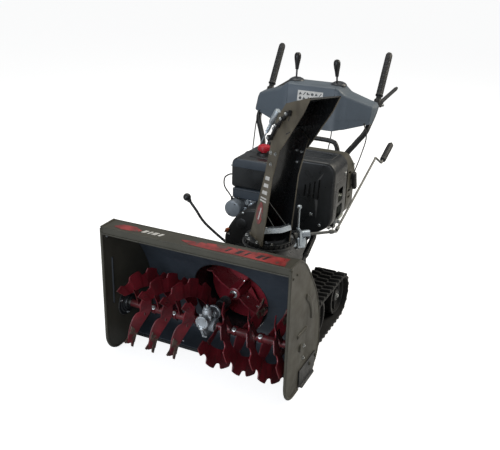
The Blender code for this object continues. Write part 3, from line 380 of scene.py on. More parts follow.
def round_bolt(place, direction, size=0.006, height=0.003):
    """Domed screw head with a cross slot."""
    head = turned([(0, -0.0004), (size, -0.0004), (size, height * 0.25),
                   (size * 0.8, height * 0.75), (size * 0.4, height), (0, height)], steps=20)
    cross = [block((0, 0, height), (size * 1.1, size * 0.22, height * 0.3)),
             block((0, 0, height), (size * 0.22, size * 1.1, height * 0.3))]
    return aimed(merged(head, *cross), place, direction)


def add(name, solid, look, body, replaces=(), bevel=0.0, segments=2, angle=32, turn=None):
    """Make a named piece from a solid drawn in the machine's frame and let it ride on a body."""
    mesh = bpy.data.meshes.new(name)
    if turn is not None:
        moved(solid, turn)
    solid.to_mesh(mesh)
    solid.free()
    mesh.shade_smooth()
    mesh.set_sharp_from_angle(angle=radians(angle))
    obj = bpy.data.objects.new(name, mesh)
    bpy.context.collection.objects.link(obj)
    obj.location = ORIGIN
    mesh.materials.append(M[look])
    if bevel:
        soften = obj.modifiers.new("bevel", "BEVEL")
        soften.width = bevel
        soften.segments = segments
        soften.limit_method = "ANGLE"
        soften.angle_limit = radians(35)
        soften.harden_normals = True
    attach(obj, body)
    if replaces:
        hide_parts(*replaces)
    return obj


def body_of(node):
    return [b for b, ns in frame["record"]["behaviour"]["bodies"].items() if node in ns][0]


def clean_copy(node):
    """A CAD node's mesh, with its flat faces joined again, in the machine's frame."""
    bm = bmesh.new()
    bm.from_mesh(frame["nodes"][node].data)
    bmesh.ops.remove_doubles(bm, verts=bm.verts, dist=1e-6)
    bmesh.ops.dissolve_limit(bm, angle_limit=radians(1.0), verts=bm.verts, edges=bm.edges)
    bmesh.ops.translate(bm, vec=-ORIGIN, verts=bm.verts)
    return bm


def restyle(node, look, bevel=0.001, segments=2, angle=32, name=None):
    """Replace a CAD node by its own shape with softened edges and a finished surface."""
    return add(name or node + "_skin", clean_copy(node), look, body_of(node), (node,), bevel,
               segments, angle)


def paint(node, look):
    """Keep a CAD node as it is and only give it a finished surface."""
    obj = frame["nodes"][node]
    if len(obj.material_slots) == 0:
        obj.data.materials.append(M[look])
    for item in obj.material_slots:
        item.material = M[look]


def cut(obj, *solids):
    """Subtract closed solids, drawn in the machine's frame, from a piece."""
    for solid in solids:
        mesh = bpy.data.meshes.new("cutter")
        solid.to_mesh(mesh)
        tool = bpy.data.objects.new("cutter", mesh)
        bpy.context.collection.objects.link(tool)
        tool.location = ORIGIN
        bpy.context.view_layer.update()
        carve = obj.modifiers.new("cut", "BOOLEAN")
        carve.object = tool
        carve.solver = "EXACT"
        obj.modifiers.move(len(obj.modifiers) - 1, 0)
        graph = bpy.context.evaluated_depsgraph_get()
        others = [m for m in obj.modifiers if m != carve]
        for other in others:
            other.show_viewport = False
        bpy.context.view_layer.update()
        result = bpy.data.meshes.new_from_object(obj.evaluated_get(graph))
        obj.modifiers.remove(carve)
        for other in others:
            other.show_viewport = True
        obj.data = result
        bpy.data.objects.remove(tool, do_unlink=True)
        bpy.data.meshes.remove(mesh)
    obj.data.shade_smooth()
    obj.data.set_sharp_from_angle(angle=radians(32))


# Camera, floor and light ------------------------------------------------------------

def build_camera():
    yaw, pitch, roll = radians(24.962), radians(21.884), radians(1.714)
    forward = Vector((-sin(yaw) * cos(pitch), cos(yaw) * cos(pitch), -sin(pitch)))
    level = Vector((cos(yaw), sin(yaw), 0))
    upright = level.cross(forward)
    right = cos(roll) * level + sin(roll) * upright
    up = cos(roll) * upright - sin(roll) * level
    data = bpy.data.cameras.new("camera")
    data.sensor_width = 36.0
    data.lens = 50.3
    camera = bpy.data.objects.new("camera", data)
    bpy.context.collection.objects.link(camera)
    turn = Matrix((right, up, -forward)).transposed().to_4x4()
    camera.matrix_world = Matrix.Translation(ORIGIN + Vector((1.124, -1.925, 1.527))) @ turn
    bpy.context.scene.camera = camera


def area_light(name, place, aim, size, power, colour):
    data = bpy.data.lights.new(name, "AREA")
    data.shape = "RECTANGLE"
    data.size, data.size_y = size
    data.energy = power
    data.color = colour
    lamp = bpy.data.objects.new(name, data)
    bpy.context.collection.objects.link(lamp)
    lamp.location = place
    lamp.rotation_euler = (Vector(aim) - Vector(place)).to_track_quat("-Z", "Y").to_euler()


def build_studio():
    scene = bpy.context.scene
    scene.view_settings.view_transform = "Standard"
    scene.view_settings.look = "None"
    world = bpy.data.worlds.new("studio")
    scene.world = world
    world.use_nodes = True
    sky = world.node_tree.nodes["Background"]
    sky.inputs["Color"].default_value = (0.96, 0.98, 1.0, 1.0)
    sky.inputs["Strength"].default_value = 0.26
    area_light("key", (2.6, 1.9, 3.0), (0.0, -0.1, 0.4), (2.2, 2.2), 110, (1.0, 0.93, 0.80))
    area_light("top", (-0.6, 0.4, 3.6), (0.0, 0.0, 0.4), (2.4, 2.0), 40, (1.0, 0.98, 0.93))
    area_light("fill", (-0.4, -3.4, 1.3), (0.0, 0.0, 0.45), (2.4, 1.3), 52, (0.84, 0.91, 1.0))
    bm = bmesh.new()
    bmesh.ops.create_grid(bm, x_segments=8, y_segments=8, size=40.0)
    mesh = bpy.data.meshes.new("floor")
    bm.to_mesh(mesh)
    floor = bpy.data.objects.new("floor", mesh)
    bpy.context.collection.objects.link(floor)
    floor.location.z = -0.0008
    pale = bpy.data.materials.new("floor_paper")
    pale.use_nodes = True
    tree = pale.node_tree
    shader = tree.nodes["Principled BSDF"]
    shader.inputs["Base Color"].default_value = (0.62, 0.62, 0.62, 1.0)
    shader.inputs["Roughness"].default_value = 0.9
    shader.inputs["Specular IOR Level"].default_value = 0.1
    shader.inputs["Emission Color"].default_value = (1.0, 1.0, 1.0, 1.0)
    seen = tree.nodes.new("ShaderNodeLightPath")
    glow = tree.nodes.new("ShaderNodeMath")
    glow.operation = "MULTIPLY"
    glow.inputs[1].default_value = 0.80
    link(tree, seen.outputs["Is Camera Ray"], glow.inputs[0])
    link(tree, glow.outputs["Value"], shader.inputs["Emission Strength"])
    mesh.materials.append(pale)


# Housing -----------------------------------------------------------------------------

def arc(centre, radius, start, end, steps):
    return [(centre[0] + radius * cos(radians(start + (end - start) * i / steps)),
             centre[1] + radius * sin(radians(start + (end - start) * i / steps)))
            for i in range(steps + 1)]


def capsule(path, radius, sides=10, flat=1.0):
    """Rounded-end tube used to press grooves into sheet."""
    ahead = (Vector(path[0]) - Vector(path[1])).normalized()
    behind = (Vector(path[-1]) - Vector(path[-2])).normalized()
    points = [Vector(path[0]) + ahead * radius * k for k in (0.95, 0.7, 0.35)]
    points += [Vector(p) for p in path]
    points += [Vector(path[-1]) + behind * radius * k for k in (0.35, 0.7, 0.95)]
    ends = [0.31, 0.71, 0.94]
    radii = [radius * k for k in ends] + [radius] * len(path) + [radius * k for k in ends[::-1]]
    return sweep(points, radii, sides, flat)


def area_of(outline):
    return sum(a[0] * b[1] - b[0] * a[1] for a, b in zip(outline, outline[1:] + outline[:1])) / 2


def build_plates():
    for side, name in ((1, "left"), (-1, "right")):
        node = f"side_plate_{name}"
        # Side plates, lips, rims, embossing and outer bolt heads take the olive copy of the black
        # paint: painted light.
        plate = add(f"housing_side_{name}", clean_copy(node), "black_painted_light", "machine", (node,))
        out = side * 0.3820
        cut(plate,
            capsule([(out + side * 0.0085, 0.120, 0.100), (out + side * 0.0085, 0.186, 0.118)],
                    0.0102, 20),
            block((out, 0.171, 0.1420), (0.0046, 0.030, 0.066), 0.0018))
        soften = plate.modifiers.new("bevel", "BEVEL")
        soften.width = 0.0008
        soften.segments = 2
        soften.limit_method = "ANGLE"
        path = [(0.0035, 0.540), (0.0035, 0.300), (0.0035, 0.120)]
        path += [(y, z) for y, z in arc((0.085, 0.085), 0.0815, 180, 270, 9)] + [(0.130, 0.0035)]
        crescent = rounded([(0.168, 0.386), (0.212, 0.350), (0.238, 0.305), (0.247, 0.258),
                            (0.226, 0.250), (0.219, 0.290), (0.198, 0.328), (0.160, 0.364)], 0.010)
        brace = rounded([(0.096, 0.247), (0.182, 0.246), (0.196, 0.236), (0.184, 0.225),
                         (0.096, 0.231)], 0.008)
        faces = [(0.0, 0.3796), (0.0006, 0.3818), (0.0026, 0.3842), (0.0048, 0.3850)]
        ridges = []
        for outline in (crescent, brace):
            if area_of(outline) < 0:
                outline = outline[::-1]
            ridges.append(pillow(outline, "x", [(d, side * x) for d, x in faces]))
        add(f"side_embossing_{name}", merged(*ridges), "black_painted_light", "machine")
        lip = sweep([(side * 0.3790, y, z) for y, z in path], 0.0060, 14)
        add(f"side_lip_{name}", lip, "black_painted_light", "machine")
        rim_path = [(y - 0.002, z) for y, z in back_edge()]
        rim = sweep([(side * 0.3790, y, z) for y, z in rim_path], 0.0036, 10)
        add(f"side_rear_rim_{name}", rim, "black_painted_light", "machine")
        bolts = []
        heads = []
        for y, z in ((0.028, 0.500), (0.062, 0.502)):
            heads.append(round_bolt((side * 0.3800, y, z), (side, 0, 0), 0.0055))
            bolts.append(hex_bolt((side * 0.3755, y, z), (-side, 0, 0), 0.0052, 0.004))
        for y, z in ((0.171, 0.168), (0.171, 0.117)):
            bolts.append(hex_bolt((side * 0.3798, y, z), (side, 0, 0), 0.0052, 0.004))
        for y, z in ((0.232, 0.058), (0.292, 0.064)):
            heads.append(round_bolt((side * 0.3860, y, z), (side, 0, 0), 0.0080, 0.004))
        add(f"side_bolts_{name}", merged(*bolts), "bolt", "machine")
        heads.append(turned([(0, 0), (0.0150, 0), (0.0150, 0.003), (0.0120, 0.006), (0, 0.0068)],
                            AUGER + Vector((side * 0.3800, 0, 0)), (side, 0, 0), 36))
        add(f"side_heads_{name}", merged(*heads), "black_painted_light", "machine")
        # Inner rib in the bluish copy of the paint: painted shade.
        rib = capsule([(side * 0.3756, 0.055, 0.210), (side * 0.3756, 0.055, 0.400)], 0.0040)
        add(f"inner_rib_{name}", rib, "inside", "machine")


def back_edge():
    """Rear edge of a side plate, from the top down to the ground."""
    curved = smooth_curve([(0.085, 0.548, 0), (0.152, 0.502, 0), (0.220, 0.421, 0),
                           (0.277, 0.341, 0), (0.320, 0.245, 0), (0.336, 0.160, 0),
                           (0.335, 0.080, 0), (0.310, 0.030, 0), (0.264, 0.006, 0)], 3)
    return [(0.004, 0.546)] + [(p.x, p.y) for p in curved]


def build_housing():
    bm = clean_copy("auger_housing")
    centre = Vector((0, 0.10, 0.25))
    # Faces turned into the housing get the bluish copy of the paint, painted shade; the outer
    # faces keep the olive copy, painted light.
    inward = [i for i, f in enumerate(bm.faces)
              if f.normal.dot(centre - f.calc_center_median()) > 0
              and abs(f.normal.x) < 0.5]
    sheet = add("housing_sheet", bm, "black_painted_light", "machine", ("auger_housing",))
    sheet.data.materials.append(M["inside"])
    for index in inward:
        sheet.data.polygons[index].material_index = 1
    hem = sweep([(x, 0.0005, 0.5200) for x in (-0.3745, 0.0, 0.3745)], 0.0030, 12)
    add("housing_hem", hem, "black_painted_light", "machine")
    ridge = sweep([(x, 0.0040, 0.5445) for x in (-0.3745, 0.0, 0.3745)], 0.0032, 12)
    add("housing_ridge", ridge, "black_painted_light", "machine")
    rear = sweep([(x, 0.088, 0.5455) for x in (-0.3745, 0.0, 0.3745)], 0.0026, 10)
    add("housing_crease", rear, "black_painted_light", "machine")
    # Creases on the inner back wall in the bluish copy of the paint: painted shade.
    creases = []
    for x in (-0.245, 0.245):
        path = [(x, p[0] - 0.0030, p[1] - 0.0012) for p in back_edge()[8:20]]
        creases.append(sweep(path, 0.0020, 8))
    add("housing_creases", merged(*creases), "inside", "machine")
    bolts = [hex_bolt((x, 0.203, 0.0152), (0, 0, 1), 0.0055, 0.004)
             for x in (-0.30, -0.15, 0.0, 0.15, 0.30)]
    bolts += [round_bolt((x, 0.150, 0.5005), (0, 0.6, 0.8), 0.0060)
              for x in (-0.33, 0.33)]
    add("housing_bolts", merged(*bolts), "bolt", "machine")
    restyle("scraper_bar", "black", 0.0008)
    for name in ("left", "right"):
        restyle(f"skid_shoe_{name}", "black", 0.0008)


def decal_strip(name, outline, look, height=0.5463):
    add(name, prism(outline, "z", height, height + 0.0006), look, "machine")


def build_bar_decals():
    """Generic coloured flashes on the top of the housing."""
    red = [(-0.060, 0.040), (-0.015, 0.018), (0.080, 0.014), (0.180, 0.018), (0.300, 0.013),
           (0.352, 0.013), (0.346, 0.076), (0.300, 0.072), (0.262, 0.078), (0.170, 0.070),
           (0.060, 0.064), (-0.010, 0.052)]
    decal_strip("bar_flash_right", red, "decal_red")
    dark = []
    for index, x in enumerate((0.120, 0.158, 0.192, 0.236, 0.262)):
        lean = 0.010
        width = 0.016 if index % 2 else 0.010
        dark.append(prism([(x, 0.028), (x + width, 0.028), (x + width + lean, 0.058),
                           (x + lean, 0.058)], "z", 0.5468, 0.5472))
    add("bar_marks_right", merged(*dark), "decal_black", "machine")
    swoosh = [(-0.340, 0.030), (-0.300, 0.018), (-0.235, 0.026), (-0.222, 0.040),
              (-0.262, 0.062), (-0.318, 0.060)]
    decal_strip("bar_flash_left", swoosh, "decal_red")
    pale = []
    for x, width in ((-0.222, 0.016), (-0.197, 0.010), (-0.180, 0.018), (-0.153, 0.012)):
        pale.append(prism([(x, 0.030), (x + width, 0.030), (x + width + 0.008, 0.052),
                           (x + 0.008, 0.052)], "z", 0.5463, 0.5469))
    add("bar_marks_left", merged(*pale), "decal_white", "machine")


# Augers ------------------------------------------------------------------------------

def strip(stations, side, half=0.0022):
    """Flat band across the shaft; stations hold two edges as (x, angle, radius)."""
    bm = bmesh.new()
    loops = []
    for inner, outer in stations:
        loop = []
        for (x, angle, radius), shift in ((inner, -1), (outer, -1), (outer, 1), (inner, 1)):
            loop.append(bm.verts.new((side * (x + shift * half), AUGER.y + radius * cos(angle),
                                      AUGER.z + radius * sin(angle))))
        loops.append(loop)
    for first, second in zip(loops, loops[1:]):
        for j in range(4):
            bm.faces.new((first[j], first[(j + 1) % 4], second[(j + 1) % 4], second[j]))
    bm.faces.new(loops[0])
    bm.faces.new(loops[-1])
    return closed(bm)


def tooth(share):
    """Depth of the serration under the tip circle at a share of one tooth."""
    if share < 0.52:
        return 0.0
    if share < 0.60:
        return 0.018 * (share - 0.52) / 0.08
    if share < 0.90:
        return 0.018 + 0.004 * sin(pi * (share - 0.60) / 0.30)
    return 0.018 * (1.0 - share) / 0.10


RIBBON_RATE = 0.128 / 180.0
LEG_RATE = 0.00063
LEG_ROUTE = [(126, 0.116), (141, 0.090), (163, 0.057), (192, 0.061), (211, 0.092), (222, 0.126),
             (229, 0.154)]


def ribbon(end_x, side, base, first, last):
    """Serrated helical band from one angle down to another; end_x is its place at -42."""
    steps = max(24, int(abs(first - last) * 0.7))
    stations = []
    for i in range(steps + 1):
        share = i / steps
        turn = first + (last - first) * share
        angle = radians(base + turn)
        outer = 0.1565 - tooth(((turn + 42.0) / 34.0) % 1.0)
        close = min(share, 1 - share) * abs(first - last) / 22.0
        inner = 0.083 + 0.022 * (1 - min(close, 1.0)) ** 2
        x = end_x + RIBBON_RATE * (turn + 42.0)
        stations.append(((x - 0.004, angle, inner), (x + 0.004, angle, outer)))
    return strip(stations, side)


def leg_x(end_x, turn):
    return end_x + RIBBON_RATE * (LEG_ROUTE[0][0] + 42) + LEG_RATE * (turn - LEG_ROUTE[0][0])


def leg(end_x, side, base):
    """Twisted band that carries a ribbon on past the front of the sleeve."""
    points = [(r * cos(radians(a)), r * sin(radians(a)), 0) for a, r in LEG_ROUTE]
    path = [Vector(p[:2]) for p in smooth_curve(points, 6)]
    stations = []
    for i, point in enumerate(path):
        share = i / (len(path) - 1)
        ahead = path[min(i + 1, len(path) - 1)] - path[max(i - 1, 0)]
        half = 0.0225 - 0.0070 * share
        across = Vector((-ahead.y, ahead.x)).normalized() * half
        lean = 0.004 + 0.0125 * sin(pi * min(share * 1.1, 1.0))
        x = leg_x(end_x, math.degrees(math.atan2(point.y, point.x)) % 360)
        edges = []
        for edge, shift in ((point + across, -1), (point - across, 1)):
            edges.append((x + lean * shift, radians(base) + math.atan2(edge.y, edge.x),
                          edge.length))
        stations.append(edges)
    return strip(stations, side)


def tip(end_x, side, base):
    """Scraped end of a leg with two prongs."""
    plate = []
    for radius, angle, half in ((0.104, 215, 0.0172), (0.116, 219.0, 0.0176), (0.130, 223, 0.0180),
                                (0.146, 227, 0.0188)):
        x, swing = leg_x(end_x, angle), half / radius
        plate.append(((x + 0.006, radians(base + angle) - swing, radius),
                      (x - 0.006, radians(base + angle) + swing, radius)))
    prongs = [strip(plate, side, 0.0030)]
    for turn, shift in ((-6.8, 0.005), (5.4, -0.005)):
        stations = []
        for radius, lean, half in ((0.140, turn * 0.6, 3.6), (0.150, turn * 0.8, 3.4),
                                   (0.159, turn, 2.8), (0.166, turn * 1.25, 1.8)):
            angle = base + 227 + lean
            x = leg_x(end_x, 229) + shift
            stations.append(((x, radians(angle - half), radius),
                             (x, radians(angle + half), radius)))
        prongs.append(strip(stations, side, 0.0028))
    return merged(*prongs)


def spoke(x, side, angle, reach):
    stations = []
    for radius, half in ((0.011, 0.011), (reach * 0.6, 0.010), (reach, 0.016)):
        turn = math.atan2(half, radius)
        length = math.hypot(half, radius)
        stations.append(((x, radians(angle) - turn, length), (x, radians(angle) + turn, length)))
    return strip(stations, side)


def blades(side):
    """Where each blade ends, the angles that it covers, and whether it ends in a leg."""
    if side < 0:
        return [(0.202, 138, -42, False), (0.1065, 138, -42, True), (0.011, 138, -14, True),
                (-0.0845, 138, 122, True)]
    return [(-0.014, 138, 32, True), (0.094, 138, -42, True), (0.197, 138, -42, False),
            (0.300, 46, -42, False)]


def build_augers():
    for side, name in ((1, "left"), (-1, "right")):
        base = 154 if side > 0 else 0
        solids = [turned([(0.0098, 0), (0.0150, 0), (0.0150, 0.305), (0.0098, 0.305)],
                         AUGER + Vector((side * 0.042, 0, 0)), (side, 0, 0), 28)]
        tips, bolts = [], []
        for end_x, first, last, legged in blades(side):
            solids.append(ribbon(end_x, side, base, first, last))
            for angle in (first - 30, last + 14):
                place = end_x + RIBBON_RATE * (angle + 42)
                if first - last > 80 and 0.044 < place < 0.345:
                    solids.append(spoke(place, side, base + angle, 0.092))
                    at = AUGER + Vector((side * (place - 0.0024),
                                         0.086 * cos(radians(base + angle)),
                                         0.086 * sin(radians(base + angle))))
                    bolts.append(round_bolt(at, (-side, 0, 0), 0.0042, 0.002))
            if not legged:
                continue
            middle = leg_x(end_x, 170)
            solids += [leg(end_x, side, base), spoke(middle, side, base + 170, 0.052)]
            tips.append(tip(end_x, side, base))
            collar = middle - 0.024
            if collar > 0.044:
                solids.append(turned([(0.0148, 0), (0.0185, 0.002), (0.0185, 0.016),
                                      (0.0148, 0.018)], AUGER + Vector((side * collar, 0, 0)),
                                     (side, 0, 0), 28))
                for tilt in (1, -1):
                    place = AUGER + Vector((side * (collar + 0.009), 0, 0))
                    out = Vector((0, -0.72 * tilt, 0.69 * tilt))
                    bolts.append(hex_bolt(place + 0.0182 * out, out, 0.0066, 0.0052))
        add(f"flights_{name}", merged(*solids), "red", "augers", (f"auger_{name}",), 0.0006)
        add(f"flight_tips_{name}", merged(*tips), "worn", "augers", bevel=0.0006)
        add(f"flight_bolts_{name}", merged(*bolts), "bolt", "augers")
        bearing = turned([(0.0102, 0.0002), (0.054, 0.0002), (0.056, 0.002), (0.054, 0.0045),
                          (0.044, 0.005), (0.040, 0.008), (0.034, 0.0085), (0.030, 0.012),
                          (0.026, 0.0125), (0.024, 0.018), (0.0102, 0.018)],
                         AUGER + Vector((side * 0.3757, 0, 0)), (-side, 0, 0), 44)
        heads = [hex_bolt(AUGER + Vector((side * 0.3710, 0.046 * cos(radians(a)),
                                          0.046 * sin(radians(a)))), (-side, 0, 0), 0.0052,
                          0.004) for a in (30, 150, 270)]
        add(f"bearing_flange_{name}", bearing, "black", "machine", (f"auger_bearing_{name}",))
        add(f"bearing_bolts_{name}", merged(*heads), "bolt", "machine")
    paint("auger_shaft", "zinc_dull")


def build_gearbox():
    half = 0.036
    shell = turned([(0.0105, -half), (0.0245, -half), (0.0262, -0.034), (0.0262, -0.014),
                    (0.0400, -0.011), (0.0445, -0.006), (0.0445, 0.006), (0.0400, 0.011),
                    (0.0262, 0.014), (0.0262, 0.034), (0.0245, half), (0.0105, half)],
                   AUGER, (1, 0, 0), 48)
    flange = [(AUGER.y + r * cos(radians(a)), AUGER.z + r * sin(radians(a)))
              for a, r in ((5 * i, 0.0500 + 0.0060 * max(0.0, cos(radians(5 * i * 6))) ** 4)
                           for i in range(72))]
    seam = prism(flange, "x", -0.0052, 0.0052)
    worm = Vector((0, AUGER.y, IMPELLER.z))
    nose = turned([(0, 0.020), (0.022, 0.020), (0.022, 0.044), (0.0262, 0.046),
                   (0.0262, 0.0505), (0.0200, 0.0515), (0.0165, 0.0490), (0, 0.0490)],
                  worm, (0, -1, 0), 40)
    barrel = turned([(0.0113, 0.010), (0.026, 0.010), (0.026, 0.040), (0.0300, 0.042),
                     (0.0300, 0.050), (0.0113, 0.050)], worm, (0, 1, 0), 40)
    tower = turned([(0.0, 0.0), (0.021, 0.0), (0.018, 0.022), (0.0150, 0.026),
                    (0.0150, 0.031), (0.0115, 0.035), (0.0, 0.036)],
                   AUGER + Vector((0, -0.004, 0.040)), (0, -0.10, 1), 30)
    ribs = [block((0, AUGER.y - 0.026 * k, AUGER.z + 0.036), (0.050, 0.006, 0.018), 0.0015)
            for k in (-0.8, 0.8)]
    neck = turned([(0.0113, 0.050), (0.0235, 0.050), (0.0215, 0.060), (0.0195, 0.100),
                   (0.0230, 0.104), (0.0230, 0.150), (0.0113, 0.150)], worm, (0, 1, 0), 36)
    add("gearbox_neck", neck, "black", "machine")
    add("gearbox_casting", merged(shell, seam, nose, barrel, tower, *ribs), "cast", "machine",
        ("auger_gearbox",), 0.0010)
    bolts = []
    for i in range(6):
        angle = radians(60 * i)
        at = Vector((0.0052, AUGER.y + 0.0500 * cos(angle), AUGER.z + 0.0500 * sin(angle)))
        bolts.append(hex_bolt(at, (1, 0, 0), 0.0048, 0.004))
        bolts.append(hex_bolt(Vector((-0.0052, at.y, at.z)), (-1, 0, 0), 0.0048, 0.004))
    for i in range(4):
        angle = radians(45 + 90 * i)
        bolts.append(hex_bolt(worm + Vector((0.0215 * cos(angle), -0.0510, 0.0215 * sin(angle))),
                              (0, -1, 0), 0.0034, 0.0030))
    bolts.append(hex_bolt(AUGER + Vector((0, -0.0076, 0.0758)), (0, -0.10, 1), 0.0075, 0.006))
    add("gearbox_bolts", merged(*bolts), "bolt", "machine")


def build_impeller():
    solids = [turned([(0, 0.350), (0.022, 0.350), (0.027, 0.353), (0.029, 0.366), (0.031, 0.372),
                      (0.031, 0.462), (0.027, 0.470), (0, 0.470)], (0, 0, IMPELLER.z),
                     (0, 1, 0), 40),
              turned([(0.012, 0.4535), (0.148, 0.4535), (0.151, 0.4550), (0.148, 0.4572),
                      (0.012, 0.4572)], (0, 0, IMPELLER.z), (0, 1, 0), 72),
              rod((0, 0.210, IMPELLER.z), (0, 0.352, IMPELLER.z), 0.0102, 24)]
    bolts = []
    for quarter in range(4):
        turn = Matrix.Translation(IMPELLER) @ Matrix.Rotation(
            radians(35 + 90 * quarter), 4, "Y") @ Matrix.Translation((0, -IMPELLER.y, 0))
        face = [(0.024, 0.356), (0.070, 0.350), (0.120, 0.356), (0.131, 0.368), (0.131, 0.462),
                (0.024, 0.462)]
        paddle = prism(face, "z", -0.0022, 0.0022)
        cup = prism([(0.126, -0.0022), (0.153, 0.0175), (0.1505, 0.0215), (0.124, 0.0024)], "y",
                    0.366, 0.460)
        gusset = prism([(0.030, 0.0), (0.100, 0.0), (0.030, 0.030)], "y", 0.430, 0.4345)
        solids += [moved(paddle, turn), moved(cup, turn), moved(gusset, turn)]
        for reach in (0.050, 0.105):
            bolt = hex_bolt((reach, 0.400, 0.0022), (0, 0, 1), 0.0052, 0.004)
            bolts.append(moved(bolt, turn))
    add("impeller_wheel", merged(*solids), "red_dark", "impeller_shaft", ("impeller",), 0.0007)
    bolts.append(hex_bolt((0, 0.3502, IMPELLER.z), (0, -1, 0), 0.0125, 0.008))
    add("impeller_bolts", merged(*bolts), "bolt", "impeller_shaft")
    paint("auger_pulley", "steel")


# Chute -------------------------------------------------------------------------------

HALF, TAPER, MIDDLE, RING_TOP = 0.060, 0.30, -0.009, 0.4630
BACK_LINE = [(-0.036, 0.4635), (0.010, 0.590), (0.064, 0.733), (0.104, 0.870), (0.126, 0.925)]
OPEN_LINE = [(0.076, 0.4635), (0.102, 0.600), (0.128, 0.750), (0.176, 0.868), (0.196, 0.905)]


def paint_parts(obj, look, chosen):
    """Give the faces picked by chosen(centre, normal) a second material; on the chute and
    deflector it is the darker copy of the paint, painted shade.
    """
    obj.data.materials.append(M[look])
    index = len(obj.data.materials) - 1
    for face in obj.data.polygons:
        if chosen(face.center, face.normal):
            face.material_index = index


def along_line(line, height):
    for (r0, z0), (r1, z1) in zip(line, line[1:]):
        if height <= z1:
            return r0 + (r1 - r0) * (height - z0) / (z1 - z0)
    return line[-1][0]


def wall_point(side, share, height, lift):
    """Point over a chute wall: share runs from its back edge to its open edge."""
    back, front = along_line(BACK_LINE, height), along_line(OPEN_LINE, height)
    half = HALF * (1 - TAPER * (height - RING_TOP))
    return Vector((MIDDLE + side * (half + lift), -(back + (front - back) * share), height))


def wall_patch(side, outline, low=0.0002, high=0.0008):
    """Thin prism lying on a chute wall; outline holds (share, height)."""
    bm = bmesh.new()
    face = bm.faces.new([bm.verts.new(wall_point(side, a, z, low)) for a, z in outline])
    moved_verts = [v for v in bmesh.ops.extrude_face_region(bm, geom=[face])["geom"]
                   if isinstance(v, bmesh.types.BMVert)]
    bmesh.ops.translate(bm, vec=(side * (high - low), 0, 0), verts=moved_verts)
    return closed(bm)


def on_wall(side, share, height, lift=0.0):
    return CHUTE_TURN @ wall_point(side, share, height, lift)


# Picks the channel faces that get the darker copy of the paint: painted shade.
def inside_channel(centre, normal):
    local = CHUTE_TURN.inverted() @ centre
    aim = CHUTE_TURN.to_3x3().inverted() @ normal
    off = local.x - MIDDLE
    if abs(aim.x) > 0.8:
        return aim.x * off < 0
    return abs(off) < 0.045 and (aim.y < -0.3 or (aim.z < -0.2 and local.z > 0.85))


def build_chute():
    wall_out = (CHUTE_TURN.to_3x3() @ Vector((-1, 0, 0)), CHUTE_TURN.to_3x3() @ Vector((1, 0, 0)))
    chute = add("chute_shell", clean_copy("chute"), "chute_painted_light", "chute_assembly", ("chute",))
    # Outer walls keep the brownish copy, painted light; channel faces get the darker copy, painted
    # shade.
    paint_parts(chute, "gloss", inside_channel)
    rims, bolts = [], []
    for side in (1, -1):
        edge = [CHUTE_TURN @ wall_point(side, 1.0, z, -0.0015)
                for z in (0.468, 0.50, 0.54, 0.57, 0.60, 0.64, 0.68, 0.72, 0.75, 0.79, 0.82)]
        rims.append(sweep(edge, 0.0021, 10))
        hem = [CHUTE_TURN @ wall_point(side, 0.02, z, -0.0010)
               for z in (0.47, 0.50, 0.55, 0.60, 0.65, 0.70, 0.75, 0.80, 0.85)]
        rims.append(sweep(hem, 0.0016, 8))
        for share, height in ((0.22, 0.842), (0.72, 0.846), (0.50, 0.800)):
            place = on_wall(side, share, height)
            bolts.append(hex_bolt(place, wall_out[side > 0], 0.0052, 0.0040))
            bolts.append(hex_bolt(on_wall(side, share, height, -0.0032),
                                  -wall_out[side > 0], 0.0045, 0.0035))
    add("chute_rims", merged(*rims), "chute_painted_light", "chute_assembly")
    add("chute_wall_bolts", merged(*bolts), "bolt", "chute_assembly")
    build_chute_foot()
    build_chute_decals()
    build_deflector()
    build_wires()
    build_chute_drive()


def build_chute_foot():
    gear = clean_copy("chute_gear")
    add("chute_gear_ring", gear, "plastic", "chute_assembly", ("chute_gear",), 0.0006)
    lower = turned([(0.0790, 0.4440), (0.1040, 0.4440), (0.1050, 0.4455), (0.1050, 0.4485),
                    (0.1040, 0.4500), (0.0790, 0.4500)], steps=80)
    add("chute_seat_flange", moved(lower, Matrix.Translation(CHUTE_AXIS)), "black", "machine")
    upper = turned([(0.0750, 0.4636), (0.0935, 0.4636), (0.0960, 0.4650), (0.0960, 0.4672),
                    (0.0930, 0.4680), (0.0800, 0.4690), (0.0770, 0.4760), (0.0745, 0.4760)],
                   steps=80)
    add("chute_foot_flange", upper, "black", "chute_assembly", turn=CHUTE_TURN)
    bolts = []
    for angle in (205, 232, 262, 300, 20, 60, 120, 160):
        a = radians(angle)
        place = CHUTE_AXIS + Vector((0.0870 * cos(a), 0.0870 * sin(a), 0.4680))
        bolts.append(hex_bolt(place, (0, 0, 1), 0.0058, 0.0050))
    add("chute_foot_bolts", merged(*bolts), "bolt", "chute_assembly")
    tabs = []
    for share in (0.10, 0.50, 0.90):
        for side in (-1, 1):
            base = wall_point(side, share, 0.474, 0.0016)
            tab = block(base, (0.0045, 0.020, 0.018), 0.0012)
            tabs.append(tab)
    add("chute_foot_tabs", merged(*tabs), "chute_painted_light", "chute_assembly", turn=CHUTE_TURN)


